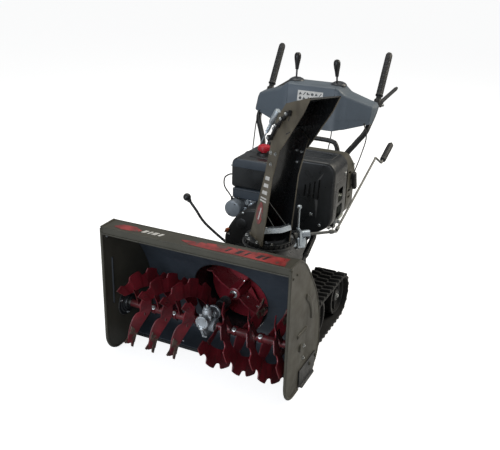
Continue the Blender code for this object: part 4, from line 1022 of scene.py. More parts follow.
def build_chute_decals():
    """Generic badge low on the chute's outer wall: an oval and slanted strokes."""
    oval = [(0.40 + 0.27 * cos(a) - 0.02 * sin(a), 0.588 + 0.048 * sin(a))
            for a in (2 * pi * i / 40 for i in range(40))]
    add("badge_oval", wall_patch(-1, oval), "decal_red", "chute_assembly", turn=CHUTE_TURN)
    strokes = []
    for base, width in ((0.640, 0.006), (0.652, 0.006)):
        strokes.append([(0.18, base), (0.78, base + 0.004), (0.78, base + 0.004 + width),
                        (0.18, base + width)])
    for centre in (0.682, 0.712, 0.742):
        strokes.append([(0.22, centre - 0.011), (0.74, centre - 0.006), (0.74, centre + 0.009),
                        (0.22, centre + 0.004)])
    flames = [wall_patch(-1, stroke) for stroke in strokes]
    flames.append(wall_patch(-1, [(0.34, 0.560), (0.44, 0.560), (0.50, 0.612), (0.42, 0.616)],
                             0.0008, 0.0012))
    add("badge_strokes", merged(*flames), "decal_white", "chute_assembly", turn=CHUTE_TURN)


def build_deflector():
    cover = add("deflector_shell", clean_copy("deflector"), "chute_painted_light", "chute_deflector",
                ("deflector",))
    # Same split on the deflector: the brownish copy outside is painted light, the darker copy
    # inside is painted shade.
    paint_parts(cover, "gloss", inside_channel)
    half = HALF * (1 - TAPER * (0.866 - RING_TOP)) + 0.0034
    bolts, marks, rims = [], [], []
    for side in (1, -1):
        x = MIDDLE + side * half
        rims.append(sweep([(x - side * 0.0013, -r, z) for r, z in
                           ((0.196, 0.884), (0.220, 0.9085), (0.259, 0.952), (0.295, 0.990),
                            (0.332, 1.030), (0.372, 1.086))], 0.0019, 10))
        place = Vector((x, -0.134, 0.934))
        bolts.append(hex_bolt(place, (side, 0, 0), 0.0065, 0.005))
        bolts.append(hex_bolt(place - Vector((side * 0.0030, 0, 0)), (-side, 0, 0), 0.0050, 0.004))
        for first, last in (((0.236, 0.986), (0.250, 1.010)), ((0.224, 0.937), (0.250, 0.950))):
            marks.append(sweep([(x, -first[0], first[1]), (x, -last[0], last[1])], 0.0021, 8))
    add("deflector_rims", merged(*rims), "chute_painted_light", "chute_deflector", turn=CHUTE_TURN)
    add("deflector_bolts", merged(*bolts), "bolt", "chute_deflector", turn=CHUTE_TURN)
    # Flat black strokes in place of open slots: the black is painted shade inside the openings.
    add("deflector_slots", merged(*marks), "decal_black", "chute_deflector", turn=CHUTE_TURN)
    top = Vector((-0.060, -0.150, 1.004))
    along = (Vector((-0.060, -0.012, 0.842)) - top).normalized()
    barrel = turned([(0, 0.004), (0.0085, 0.004), (0.0115, 0.009), (0.0118, 0.068),
                     (0.0105, 0.073), (0.0085, 0.076), (0.0060, 0.082), (0.0060, 0.086),
                     (0.0034, 0.088), (0.0034, 0.118), (0.0050, 0.121), (0.0050, 0.126),
                     (0.0023, 0.129), (0.0023, 0.204), (0, 0.204)], top, along, 32)
    coil_turn = along.to_track_quat("Z", "Y").to_matrix().to_4x4()
    coil = [top + coil_turn.to_3x3() @ Vector((0.0062 * cos(a), 0.0062 * sin(a),
                                               0.086 + 0.042 * a / (2 * pi * 9)))
            for a in (2 * pi * i / 12 for i in range(12 * 9 + 1))]
    add("deflector_spring_barrel", merged(barrel, sweep(coil, 0.0012, 6)), "zinc",
        "chute_assembly", ("deflector_spring",), turn=CHUTE_TURN)
    line = [(0.262, 1.022), (0.228, 1.000), (0.196, 0.974), (0.168, 0.950), (0.140, 0.914),
            (0.110, 0.892)]
    bracket = [sweep([(-0.0745, -r, z) for r, z in line], 0.0070, 12, 0.8)]
    pins = []
    for r, z, size in ((0.250, 1.014, 0.0095), (0.214, 0.989, 0.0075), (0.176, 0.957, 0.0085),
                       (0.122, 0.901, 0.0100)):
        bracket.append(rod((-0.0668, -r, z), (-0.0840, -r, z), size, 24, 0.0015))
        pins.append(hex_bolt((-0.0840, -r, z), (-1, 0, 0), 0.0045, 0.003))
    add("damper_bracket", merged(*bracket), "plastic", "chute_assembly", turn=CHUTE_TURN)
    add("damper_pins", merged(*pins), "bolt", "chute_assembly", turn=CHUTE_TURN)


def build_wires():
    reach = HALF * (1 - TAPER * (0.915 - RING_TOP)) - 0.0006
    flap = prism([(-0.1215, 0.900), (-0.1255, 0.898), (-0.1435, 0.9285), (-0.1445, 0.9385),
                  (-0.1425, 0.9390), (-0.1405, 0.9300)], "x", MIDDLE - reach, MIDDLE + reach)
    # The flap inside the chute takes the darker copy of the paint: painted shade.
    add("chute_top_flap", flap, "gloss", "chute_assembly", turn=CHUTE_TURN)
    edge = HALF - 0.0022
    line = [(-edge, -0.074), (0.010, -0.0885), (edge, -0.074)]
    strap = prism([(MIDDLE + x, y - 0.0155) for x, y in line]
                  + [(MIDDLE + x, y + 0.0025) for x, y in line[::-1]], "z", 0.5390, 0.5418)
    lip = prism([(MIDDLE + x, y - 0.0155) for x, y in line]
                + [(MIDDLE + x, y - 0.0130) for x, y in line[::-1]], "z", 0.5200, 0.5410)
    # Strap and lip in bright bluish zinc: on this flange the brightness is a painted reflection of
    # the light on shiny black paint.
    add("brace_strap", merged(strap, lip), "zinc", "chute_assembly", ("chute_brace",), 0.0006,
        turn=CHUTE_TURN)
    half = HALF - 0.006
    wires = []
    for start, height in ((-0.020, 0.600), (0.030, 0.655)):
        end = wall_point(-1, 0.93, height, -0.0045)
        wires.append(sweep([(MIDDLE + start, -0.089, 0.5415), (MIDDLE + start, -0.090, 0.548), end,
                            end + Vector((0, 0.004, 0.006))], 0.0011, 8))
    add("brace_wires", merged(*wires), "zinc_dull", "chute_assembly", turn=CHUTE_TURN)
    heads = [round_bolt((MIDDLE + x, -0.0845, 0.5418), (0, 0, 1), 0.0042, 0.0025)
             for x in (-half + 0.006, half - 0.008)]
    add("brace_screws", merged(*heads), "bolt", "chute_assembly", turn=CHUTE_TURN)


def build_chute_drive():
    outward = Vector((0.77, 0.638, 0.040)).normalized()
    across = Vector((-outward.y, outward.x, 0)).normalized()
    start = Vector((0.126, 0.400, 0.4560)) + 0.1025 * outward
    end = start + 0.160 * outward
    restyle("pinion_bracket", "zinc", 0.0012)
    hood = []
    arc_points = [(0.0190 * cos(a), 0.0190 * sin(a)) for a in (radians(12 * i) for i in range(16))]
    arc_points += [(0.0166 * cos(a), 0.0166 * sin(a))
                   for a in (radians(180 - 12 * i) for i in range(16))]
    turn = Matrix((across, Vector((0, 0, 1)), outward)).transposed().to_4x4()
    shell = prism(arc_points, "z", 0.0310, 0.062)
    hood.append(moved(shell, Matrix.Translation(start) @ turn))
    for lift in (0.0310, 0.0600):
        ring = turned([(0.0075, lift), (0.0186, lift), (0.0186, lift + 0.002),
                       (0.0075, lift + 0.002)], start, outward, 40)
        hood.append(ring)
    hood.append(moved(block((0, -0.026, 0.046), (0.030, 0.020, 0.0030), 0.001),
                      Matrix.Translation(start) @ turn))
    hood.append(moved(block((0.002, -0.0275, 0.0260), (0.044, 0.046, 0.038), 0.006, 3),
                      Matrix.Translation(start) @ turn))
    add("pinion_hood", merged(*hood), "zinc", "machine")
    post = start + 0.022 * outward + 0.017 * across + Vector((0, 0, 0.010))
    tee = [turned([(0, 0.092), (0.0050, 0.092), (0.0060, 0.097), (0.0092, 0.100), (0.0098, 0.104),
                   (0.0092, 0.109), (0.0050, 0.1115), (0, 0.1115)], post, (0, 0, 1), 28),
           turned([(0, 0.004), (0.0075, 0.004), (0.0075, 0.010), (0, 0.010)], post, (0, 0, 1), 6)]
    add("tee_post_head", merged(*tee), "zinc", "machine")
    shaft = turned([(0, 0.0), (0.0105, 0.0), (0.0125, 0.003), (0.0125, 0.012), (0.0105, 0.0128),
                    (0.0060, 0.0130), (0.0060, 0.150), (0.0088, 0.1505), (0.0092, 0.153),
                    (0.0092, 0.163), (0.0085, 0.165), (0, 0.165)], start, outward, 36)
    add("pinion_shaft_turned", shaft, "zinc_dull", "chute_pinion", ("pinion_shaft",))
    joint = end + 0.016 * outward
    top = Vector((0.347, 1.060, 0.652))
    along = (top - joint).normalized()
    fork = [rod(end - 0.002 * outward, joint - 0.001 * outward, 0.0066, 24, 0.001)]
    for s in (1, -1):
        fork.append(rod(joint + s * 0.0075 * across - 0.010 * outward,
                        joint + s * 0.0075 * across + 0.004 * outward, 0.0028, 12))
    fork.append(rod(joint - 0.0100 * across, joint + 0.0100 * across, 0.0026, 14))
    add("joint_fork", merged(*fork), "steel", "chute_pinion")
    arm = Vector((0.0262, 0.0070, -0.0205))
    low = joint + 0.008 * along
    route = [low + (top - 0.012 * along - low) * (i / 12) for i in range(13)]
    route += smooth_curve([top - 0.012 * along, top, top + 0.5 * arm, top + arm,
                           top + arm + 0.012 * along], 6)[1:]
    route += [top + arm + 0.158 * along]
    crank = sweep(route, 0.0048, 18)
    yoke = [turned([(0, -0.006), (0.0072, -0.006), (0.0078, -0.003), (0.0078, 0.010),
                    (0.0062, 0.014), (0, 0.014)], low + 0.006 * along, along, 28),
            crank]
    add("crank_rod_bent", merged(*yoke), "zinc_dull", "chute_crank", ("crank_rod",))
    near = top + arm + 0.020 * along
    profile = [(0.0052, 0.0), (0.0105, 0.0), (0.0128, 0.002), (0.0135, 0.005)]
    for i in range(9):
        z = 0.010 + 0.0115 * i
        profile += [(0.0137, z), (0.0137, z + 0.008), (0.0126, z + 0.009), (0.0126, z + 0.0105)]
    profile += [(0.0135, 0.118), (0.0128, 0.123), (0.0105, 0.126), (0.0052, 0.126)]
    add("crank_grip_ribbed", turned(profile, near, along, 36), "grip", "crank_handle",
        ("crank_grip",))


# Engine ------------------------------------------------------------------------------

def rounded_outline(low, high, radii, steps=6):
    corners = ((low[0], low[1], 180), (high[0], low[1], 270), (high[0], high[1], 0),
               (low[0], high[1], 90))
    points = []
    for (x, y, start), radius in zip(corners, radii):
        centre = (x + radius * (1 if x == low[0] else -1), y + radius * (1 if y == low[1] else -1))
        points += arc(centre, radius, start, start + 90, steps)
    return points


def inset(outline, distance):
    """Closed outline, running anticlockwise, moved inwards."""
    result = []
    count = len(outline)
    for i in range(count):
        before, here, after = (Vector(outline[(i + k) % count]) for k in (-1, 0, 1))
        first, second = (here - before).normalized(), (after - here).normalized()
        normal = Vector((-first.y - second.y, first.x + second.x))
        if normal.length < 1e-6:
            normal = Vector((-first.y, first.x))
        normal.normalize()
        reach = distance / max(0.35, normal.dot(Vector((-first.y, first.x))))
        result.append(tuple(here + normal * reach))
    return result


def pillow(outline, axis, stations):
    """Solid through copies of an outline; stations hold (inset, place along the axis)."""
    turn = AXIS_FRAMES[axis]
    bm = bmesh.new()
    loops = [[bm.verts.new(turn @ Vector((x, y, place))) for x, y in inset(outline, distance)]
             for distance, place in stations]
    count = len(outline)
    for first, second in zip(loops, loops[1:]):
        for j in range(count):
            k = (j + 1) % count
            bm.faces.new((first[j], first[k], second[k], second[j]))
    bm.faces.new(loops[0])
    bm.faces.new(loops[-1])
    return closed(bm)


def round_stations(low, high, front, rear, steps=5):
    """Stations of a pillow whose two rims are rounded by their own radii."""
    result = []
    for i in range(steps + 1):
        a = radians(90 * i / steps)
        result.append((front * (1 - sin(a)), low + front * (1 - cos(a))))
    for i in range(steps + 1):
        a = radians(90 * i / steps)
        result.append((rear * (1 - cos(a)), high - rear * (1 - sin(a))))
    return result


def rounded(points, radius, steps=4):
    """Polygon with every corner rounded."""
    result = []
    count = len(points)
    for i in range(count):
        before, here, after = (Vector(points[(i + k) % count]) for k in (-1, 0, 1))
        to_before, to_after = (before - here), (after - here)
        reach = min(radius, to_before.length * 0.45, to_after.length * 0.45)
        start = here + to_before.normalized() * reach
        end = here + to_after.normalized() * reach
        for k in range(steps + 1):
            t = k / steps
            result.append(tuple((1 - t) ** 2 * start + 2 * t * (1 - t) * here + t * t * end))
    return result


def build_engine():
    paint("engine_block", "cast")
    fins = [block((0.120, 0.758, 0.405 + 0.014 * i), (0.190, 0.140, 0.004), 0.001)
            for i in range(10)]
    add("engine_fins", merged(*fins), "cast", "machine")
    paint("engine_pulley", "steel")
    tank = pillow(rounded_outline((-0.172, 0.548), (0.052, 0.680), (0.014, 0.012, 0.022, 0.030)),
                  "y", round_stations(0.652, 0.890, 0.009, 0.010))
    neck = turned([(0.0150, -0.010), (0.0335, -0.010), (0.0330, 0.0), (0.0300, 0.010),
                   (0.0300, 0.0128), (0.0150, 0.0128)], (-0.066, 0.752, 0.680), (0, 0, 1), 44)
    seam = pillow(inset(rounded_outline((-0.172, 0.548), (0.052, 0.680),
                                        (0.012, 0.008, 0.022, 0.030)), -0.0022), "y",
                  [(0.001, 0.770), (0, 0.7712), (0, 0.7748), (0.001, 0.776)])
    add("tank_shell", merged(tank, seam), "tank", "machine", ("fuel_tank",))
    plate = block((-0.062, 0.752, 0.6805), (0.096, 0.110, 0.0035), 0.0015)
    add("tank_top_pad", merged(plate, neck), "plastic", "machine")
    band = pillow(rounded([(-0.1660, 0.6400), (0.0460, 0.6400), (0.0460, 0.6660),
                           (0.0300, 0.6770), (-0.1480, 0.6770), (-0.1660, 0.6620)], 0.006), "y",
                  round_stations(0.6488, 0.6600, 0.003, 0.001))
    add("tank_front_band", band, "band", "machine")
    intake = pillow(rounded_outline((-0.160, 0.5030), (0.036, 0.5475),
                                    (0.008, 0.008, 0.004, 0.004)), "y",
                    round_stations(0.640, 0.688, 0.006, 0.003))
    add("intake_case", intake, "band", "machine", ("intake_box",))
    clips = [block((x, 0.6405, 0.505), (0.012, 0.006, 0.010), 0.0015) for x in (-0.13, 0.0)]
    add("intake_clips", merged(*clips), "plastic", "machine")
    add("tank_screw", hex_bolt((-0.1722, 0.668, 0.640), (-1, 0, 0), 0.0060, 0.006), "bolt",
        "machine")
    cap = [(0, 0), (0.014, 0), (0.014, 0.006), (0.0245, 0.0075), (0.0262, 0.010), (0.0262, 0.025),
           (0.0245, 0.0285), (0.0195, 0.0305), (0.0165, 0.0300), (0, 0.0300)]
    base = Vector((-0.066, 0.752, 0.6935))
    ribs = [turned(cap, base, (0, 0, 1), 44)]
    for i in range(20):
        a = 2 * pi * i / 20
        rib = block((0.0262, 0, 0.0175), (0.0026, 0.0040, 0.0150), 0.0008)
        ribs.append(moved(rib, Matrix.Translation(base) @ Matrix.Rotation(a, 4, "Z")))
    ribs.append(moved(block((0, 0, 0.0305), (0.034, 0.007, 0.0032), 0.0012),
                      Matrix.Translation(base)))
    add("fuel_cap_ribbed", merged(*ribs), "cap", "tank_cap", ("fuel_cap",))
    build_starter()
    build_guard()
    build_recoil()


def build_starter():
    axis = Vector((-0.1400, 0, 0.4645))
    can = turned([(0, 0.6000), (0.0310, 0.6000), (0.0335, 0.6006), (0.0362, 0.6030),
                  (0.0373, 0.6060), (0.0373, 0.6230), (0.0364, 0.6240), (0.0373, 0.6250),
                  (0.0373, 0.6820), (0.0362, 0.684), (0, 0.684)], axis, (0, 1, 0), 56)
    flange = block((-0.128, 0.6860, 0.4645), (0.084, 0.006, 0.056), 0.002)
    add("starter_can", can, "starter", "machine", ("starter_motor",))
    add("starter_bracket", flange, "cast", "machine")
    screws = [round_bolt(axis + Vector((0.0280 * cos(radians(a)), 0.6000,
                                        0.0280 * sin(radians(a)))),
                         (0, -1, 0), 0.0036, 0.0022) for a in (62, 242)]
    add("starter_screws", merged(*screws), "bolt_black", "machine")
    lead = smooth_curve([(-0.153, 0.628, 0.5005), (-0.162, 0.624, 0.520), (-0.192, 0.630, 0.552),
                         (-0.200, 0.646, 0.585), (-0.186, 0.672, 0.596),
                         (-0.1725, 0.690, 0.590)], 8)
    boot = turned([(0, 0), (0.0058, 0), (0.0062, 0.003), (0.0040, 0.014), (0, 0.014)],
                  (-0.153, 0.628, 0.4985), (-0.2, 0, 1), 20)
    add("starter_lead_sheath", merged(sweep(lead, 0.0030, 14), boot), "cable", "machine",
        ("starter_lead",))
    pieces = [sweep(smooth_curve([(-0.098, 0.628, 0.452), (-0.082, 0.620, 0.470),
                                  (-0.066, 0.616, 0.474), (-0.048, 0.622, 0.492),
                                  (-0.040, 0.640, 0.498)], 5), 0.0030, 10),
              block((-0.072, 0.622, 0.470), (0.040, 0.0030, 0.012), 0.001),
              block((-0.060, 0.624, 0.490), (0.014, 0.0100, 0.022), 0.002),
              rod((-0.076, 0.612, 0.500), (-0.076, 0.632, 0.500), 0.0080, 24, 0.001),
              rod((-0.048, 0.612, 0.500), (-0.048, 0.630, 0.500), 0.0060, 24, 0.001),
              hex_bolt((-0.086, 0.6185, 0.462), (0, -1, 0), 0.0055, 0.004),
              hex_bolt((-0.060, 0.6165, 0.476), (0, -1, 0), 0.0050, 0.004)]
    add("throttle_linkage", merged(*pieces), "zinc", "machine")


def build_guard():
    outline = rounded([(0.060, 0.400), (0.235, 0.412), (0.287, 0.450), (0.300, 0.480),
                       (0.300, 0.690), (0.275, 0.722), (0.060, 0.722)], 0.022)
    shell = pillow(outline, "y", round_stations(0.640, 0.7995, 0.012, 0.0005, 7))
    guard = add("muffler_guard_pressing", shell, "black", "machine", ("muffler_guard",))
    hollow = pillow(inset(outline, 0.0028), "y", round_stations(0.6428, 0.830, 0.0095, 0.0005, 6))
    cut(guard, hollow)
    slots = []
    for i in range(4):
        x = 0.172 + 0.0200 * i
        tall = 0.030 + 0.010 * i
        slots.append(capsule([(x, 0.640, 0.5760 - 0.2 * tall), (x + 0.004, 0.640, 0.586 + tall)],
                             0.0036, 8))
    for i in range(5):
        slots.append(block((0.172, 0.682 + 0.024 * i, 0.7225), (0.150, 0.007, 0.004), 0.001))
    slots.append(block((0.300, 0.730, 0.570), (0.02, 0.058, 0.060), 0.008))
    slots.append(block((0.300, 0.724, 0.492), (0.02, 0.070, 0.070), 0.008))
    cut(guard, *slots)
    dark = [block((0.163, 0.724, 0.565), (0.196, 0.130, 0.262), 0.010, 3)]
    add("muffler_body", merged(*dark), "bolt_black", "machine")
    panel = [sweep([(0.092, 0.690, 0.7222), (0.262, 0.690, 0.7222), (0.262, 0.782, 0.7222),
                    (0.092, 0.782, 0.7222), (0.092, 0.690, 0.7222)], 0.0018, 6),
             sweep([(0.2996, 0.668, 0.520), (0.2996, 0.668, 0.620), (0.2996, 0.676, 0.634),
                    (0.2996, 0.786, 0.634)], 0.0016, 6)]
    add("guard_creases", merged(*panel), "black", "machine")
    bolts = [hex_bolt((x, 0.6402, z), (0, -1, 0), 0.0055, 0.0045)
             for x, z in ((0.246, 0.452), (0.206, 0.494))]
    bolts += [hex_bolt((0.2785, 0.668, 0.4390), (0.6, 0, -0.8), 0.0075, 0.006),
              round_bolt((0.3000, 0.780, 0.650), (1, 0, 0), 0.0055)]
    add("guard_bolts", merged(*bolts), "bolt", "machine")
    cover = pillow(rounded([(0.7700, 0.4400), (0.8240, 0.4400), (0.8240, 0.5450),
                            (0.7960, 0.5450), (0.7700, 0.5100)], 0.008), "x",
                   round_stations(0.262, 0.2900, 0.001, 0.006))
    add("aluminium_cover", cover, "patch", "machine")
    lug = [rod((0.250, 0.800, 0.420), (0.285, 0.800, 0.420), 0.009, 20, 0.001),
           block((0.258, 0.795, 0.428), (0.030, 0.022, 0.030), 0.003)]
    add("mount_lug", merged(*lug), "cast", "machine")


def build_recoil():
    outline = rounded([(-0.100, 0.375), (0.180, 0.375), (0.278, 0.440), (0.296, 0.480),
                       (0.296, 0.650), (0.262, 0.700), (0.0530, 0.700), (0.0530, 0.5470),
                       (-0.100, 0.5470)], 0.020)
    shell = pillow(outline, "y", round_stations(0.8275, 0.9250, 0.0005, 0.009, 6))
    # The shroud takes the olive copy of the black paint: painted light.
    shroud = add("engine_shroud", shell, "black_painted_light", "machine", ("recoil_housing",))
    cut(shroud, pillow(inset(outline, 0.0040), "y", round_stations(0.80, 0.9215, 0.0005, 0.005)),
        block((0.2935, 0.885, 0.583), (0.020, 0.010, 0.026), 0.003))
    slots = [block((0.296, 0.860, 0.520 + 0.030 * i), (0.02, 0.034, 0.011), 0.004)
             for i in range(2)]
    slots += [block((0.296, 0.852, 0.632), (0.02, 0.030, 0.010), 0.004)]
    centre = Vector((0.120, 0.9250, 0.520))
    for ring, count in ((0.040, 10), (0.058, 16), (0.076, 20)):
        for i in range(count):
            a = 2 * pi * i / count
            place = centre + Vector((ring * cos(a), 0, ring * sin(a)))
            hole = block((0, 0, 0), (0.011, 0.02, 0.0045), 0.0015)
            slots.append(moved(hole, Matrix.Translation(place) @ Matrix.Rotation(-a, 4, "Y")))
    cut(shroud, merged(*slots))
    disc = turned([(0.086, 0), (0.094, 0), (0.0955, 0.0015), (0.094, 0.004), (0.090, 0.005),
                   (0.086, 0.004)], centre - Vector((0, 0.0015, 0)), (0, 1, 0), 72)
    hub = turned([(0, 0), (0.026, 0), (0.026, 0.003), (0.022, 0.0055), (0, 0.0060)], centre,
                 (0, 1, 0), 48)
    add("recoil_ring", merged(disc, hub), "plastic", "machine")
    bolts = [hex_bolt(centre + Vector((0.102 * cos(radians(a)), 0.0, 0.102 * sin(radians(a)))),
                      (0, 1, 0), 0.0060, 0.005) for a in (40, 135, 225, 320)]
    bolts.append(hex_bolt((0.296, 0.900, 0.660), (1, 0, 0), 0.0050, 0.004))
    add("recoil_bolts", merged(*bolts), "bolt", "machine")
    pull = Vector((0.36, 0, 0.933)).normalized()
    rope = sweep([Vector((0.300, 0.885, 0.600)) - 0.160 * (1 - i / 8) * pull
                  for i in range(9)], 0.0022, 10)
    add("recoil_rope", rope, "cable", "starter_pull")
    grip = pillow(rounded([(0.872, 0.545), (0.898, 0.545), (0.898, 0.628), (0.872, 0.628)],
                          0.009, 5), "x", round_stations(0.2985, 0.3165, 0.005, 0.007))
    turn = (Matrix.Translation((0.3, 0.885, 0.600)) @ Matrix.Rotation(radians(18), 4, "X")
            @ Matrix.Translation((-0.3, -0.885, -0.600)))
    add("recoil_handle", grip, "grip", "starter_pull", ("recoil_grip",), turn=turn)
    rim = [(0.2962, 0.8850 + 0.0062 * cos(a), 0.5830 + 0.0135 * sin(a))
           for a in (2 * pi * i / 24 for i in range(25))]
    add("rope_guide", sweep(rim, 0.0012, 8), "steel", "machine")


# Chassis, tracks and wheels ------------------------------------------------------------

def build_chassis():
    restyle("engine_bed", "black", 0.0015)
    bolts = [hex_bolt((x, y, 0.3702), (0, 0, 1), 0.0070, 0.006)
             for x in (-0.095, 0.165) for y in (0.655, 0.945)]
    bolts += [hex_bolt((x, 0.9672, 0.350), (0, 1, 0), 0.0070, 0.006) for x in (-0.195, -0.12,
                                                                              0.12, 0.195)]
    add("engine_bed_bolts", merged(*bolts), "bolt", "machine")
    restyle("transmission_case", "black", 0.0020)
    bolts = [hex_bolt((side * 0.1282, y, z), (side, 0, 0), 0.0060, 0.005)
             for side in (1, -1) for y, z in ((0.540, 0.290), (0.700, 0.300), (0.815, 0.300),
                                              (0.815, 0.150), (0.560, 0.125))]
    bolts += [hex_bolt((x, 0.8402, z), (0, 1, 0), 0.0060, 0.005) for x in (-0.10, 0.10)
              for z in (0.180, 0.290)]
    add("case_bolts", merged(*bolts), "bolt", "machine")
    panel = pillow(rounded([(-0.085, 0.165), (0.085, 0.165), (0.085, 0.275), (-0.085, 0.275)],
                           0.012), "y", round_stations(0.8395, 0.8440, 0.0005, 0.003))
    add("rear_panel", panel, "black", "machine")
    outline = rounded([(-0.112, 0.200), (0.112, 0.200), (0.112, 0.300), (0.085, 0.470),
                       (0.050, 0.520), (-0.020, 0.520), (-0.061, 0.493), (-0.100, 0.440),
                       (-0.126, 0.385), (-0.126, 0.330), (-0.112, 0.300)], 0.022)
    shell = pillow(outline, "y", round_stations(0.5040, 0.6360, 0.010, 0.0005, 6))
    cover = add("belt_cover_moulding", shell, "plastic", "machine", ("belt_cover",))
    cut(cover, pillow(inset(outline, 0.0030), "y", round_stations(0.5070, 0.70, 0.007, 0.0005)),
        block((0, 0.57, 0.20), (0.4, 0.30, 0.2600)))
    knuckles = []
    for x, z, r in ((-0.045, 0.448, 0.024), (0.040, 0.455, 0.018)):
        knuckles.append(turned([(0, 0), (r, 0), (r, 0.002), (r - 0.004, 0.0035), (0, 0.0040)],
                               (x, 0.5040, z), (0, -1, 0), 36))
    add("belt_cover_bosses", merged(*knuckles), "plastic", "machine")
    screws = [round_bolt((x, 0.5038, z), (0, -1, 0), 0.0055) for x, z in
              ((-0.104, 0.392), (-0.040, 0.497), (0.045, 0.500))]
    add("belt_cover_screws", merged(*screws), "bolt", "machine")
    lens = pillow(rounded([(-0.1240, 0.3950), (-0.1050, 0.4040), (-0.1000, 0.4180),
                           (-0.1180, 0.4160)], 0.004), "y",
                  round_stations(0.4960, 0.5100, 0.003, 0.001))
    add("amber_marker", lens, "amber", "machine")


def belt_loop(radius, steps=24):
    return (arc((0.722, 0.106), radius, -90, 90, steps) + arc((0.475, 0.106), radius, 90, 270,
                                                              steps))


def loop_place(run):
    """Point, and outward direction, at a run along the belt's outer line."""
    straight, radius = 0.247, 0.094
    total = 2 * straight + 2 * pi * radius
    run %= total
    if run < straight:
        return (0.475 + run, 0.106 - radius), (0, -1)
    run -= straight
    if run < pi * radius:
        a = run / radius - pi / 2
        return (0.722 + radius * cos(a), 0.106 + radius * sin(a)), (cos(a), sin(a))
    run -= pi * radius
    if run < straight:
        return (0.722 - run, 0.106 + radius), (0, 1)
    a = (run - straight) / radius + pi / 2
    return (0.475 + radius * cos(a), 0.106 + radius * sin(a)), (cos(a), sin(a))


def lug(side, run, low, high, rise, skew=0.0):
    """Tapered rubber bar across part of the belt."""
    bm = bmesh.new()
    loops = []
    for x, shift in ((low, -skew), (low + 0.002, -skew * 0.9), (high - 0.002, skew * 0.9),
                     (high, skew)):
        inner = x in (low, high)
        loop = []
        for offset, height in ((-0.0066, -0.001), (-0.0046, rise - (0.0035 if inner else 0.001)),
                               (-0.0036, rise - (0.003 if inner else 0.0)),
                               (0.0036, rise - (0.003 if inner else 0.0)),
                               (0.0046, rise - (0.0035 if inner else 0.001)), (0.0066, -0.001)):
            (y, z), (dy, dz) = loop_place(run + offset + shift)
            loop.append(bm.verts.new((side * x, y + dy * height, z + dz * height)))
        loops.append(loop)
    count = len(loops[0])
    for first, second in zip(loops, loops[1:]):
        for j in range(count):
            k = (j + 1) % count
            bm.faces.new((first[j], first[k], second[k], second[j]))
    bm.faces.new(loops[0])
    bm.faces.new(loops[-1])
    return closed(bm)


def build_tracks():
    total = 2 * 0.247 + 2 * pi * 0.094
    for side, name in ((1, "left"), (-1, "right")):
        low, high = sorted((side * 0.205, side * 0.345))
        band = prism(belt_loop(0.094), "x", low, high)
        belt = add(f"track_rubber_{name}", band, "rubber", "machine", (f"track_belt_{name}",),
                   0.0012)
        cut(belt, prism(belt_loop(0.0861), "x", low - 0.01, high + 0.01))
        bars = []
        for i in range(30):
            run = (i + 0.55) * total / 30
            bars.append(lug(side, run, 0.2060, 0.2480, 0.0115, 0.004))
            bars.append(lug(side, run + total / 60, 0.2510, 0.2990, 0.0115))
            bars.append(lug(side, run, 0.3020, 0.3440, 0.0115, -0.004))
        for x in (0.2495, 0.3005):
            for i in range(60):
                run = (i + 0.2) * total / 60
                bars.append(lug(side, run, x - 0.0045, x + 0.0045, 0.0040))
        add(f"track_lugs_{name}", merged(*bars), "rubber", "machine")
        inner = []
        for kind, y, body in (("drive_wheel", 0.722, f"drive_{name}"),
                              ("idler", 0.475, f"idler_{name}_body")):
            build_wheel(kind, name, side, y, body)
        for i in range(2):
            low_run = 0.247 * (0.35 + 0.3 * i)
            inner.append(block((side * 0.275, 0.475 + low_run, 0.0225), (0.030, 0.012, 0.010),
                               0.003))
        add(f"track_guides_{name}", merged(*inner), "rubber", "machine")
    restyle("track_frame", "black", 0.0015)
    bolts = [hex_bolt((side * 0.1992, y, z), (side, 0, 0), 0.0065, 0.005)
             for side in (1, -1) for y, z in ((0.609, 0.128), (0.656, 0.088), (0.560, 0.106))]
    add("track_frame_bolts", merged(*bolts), "bolt", "machine")


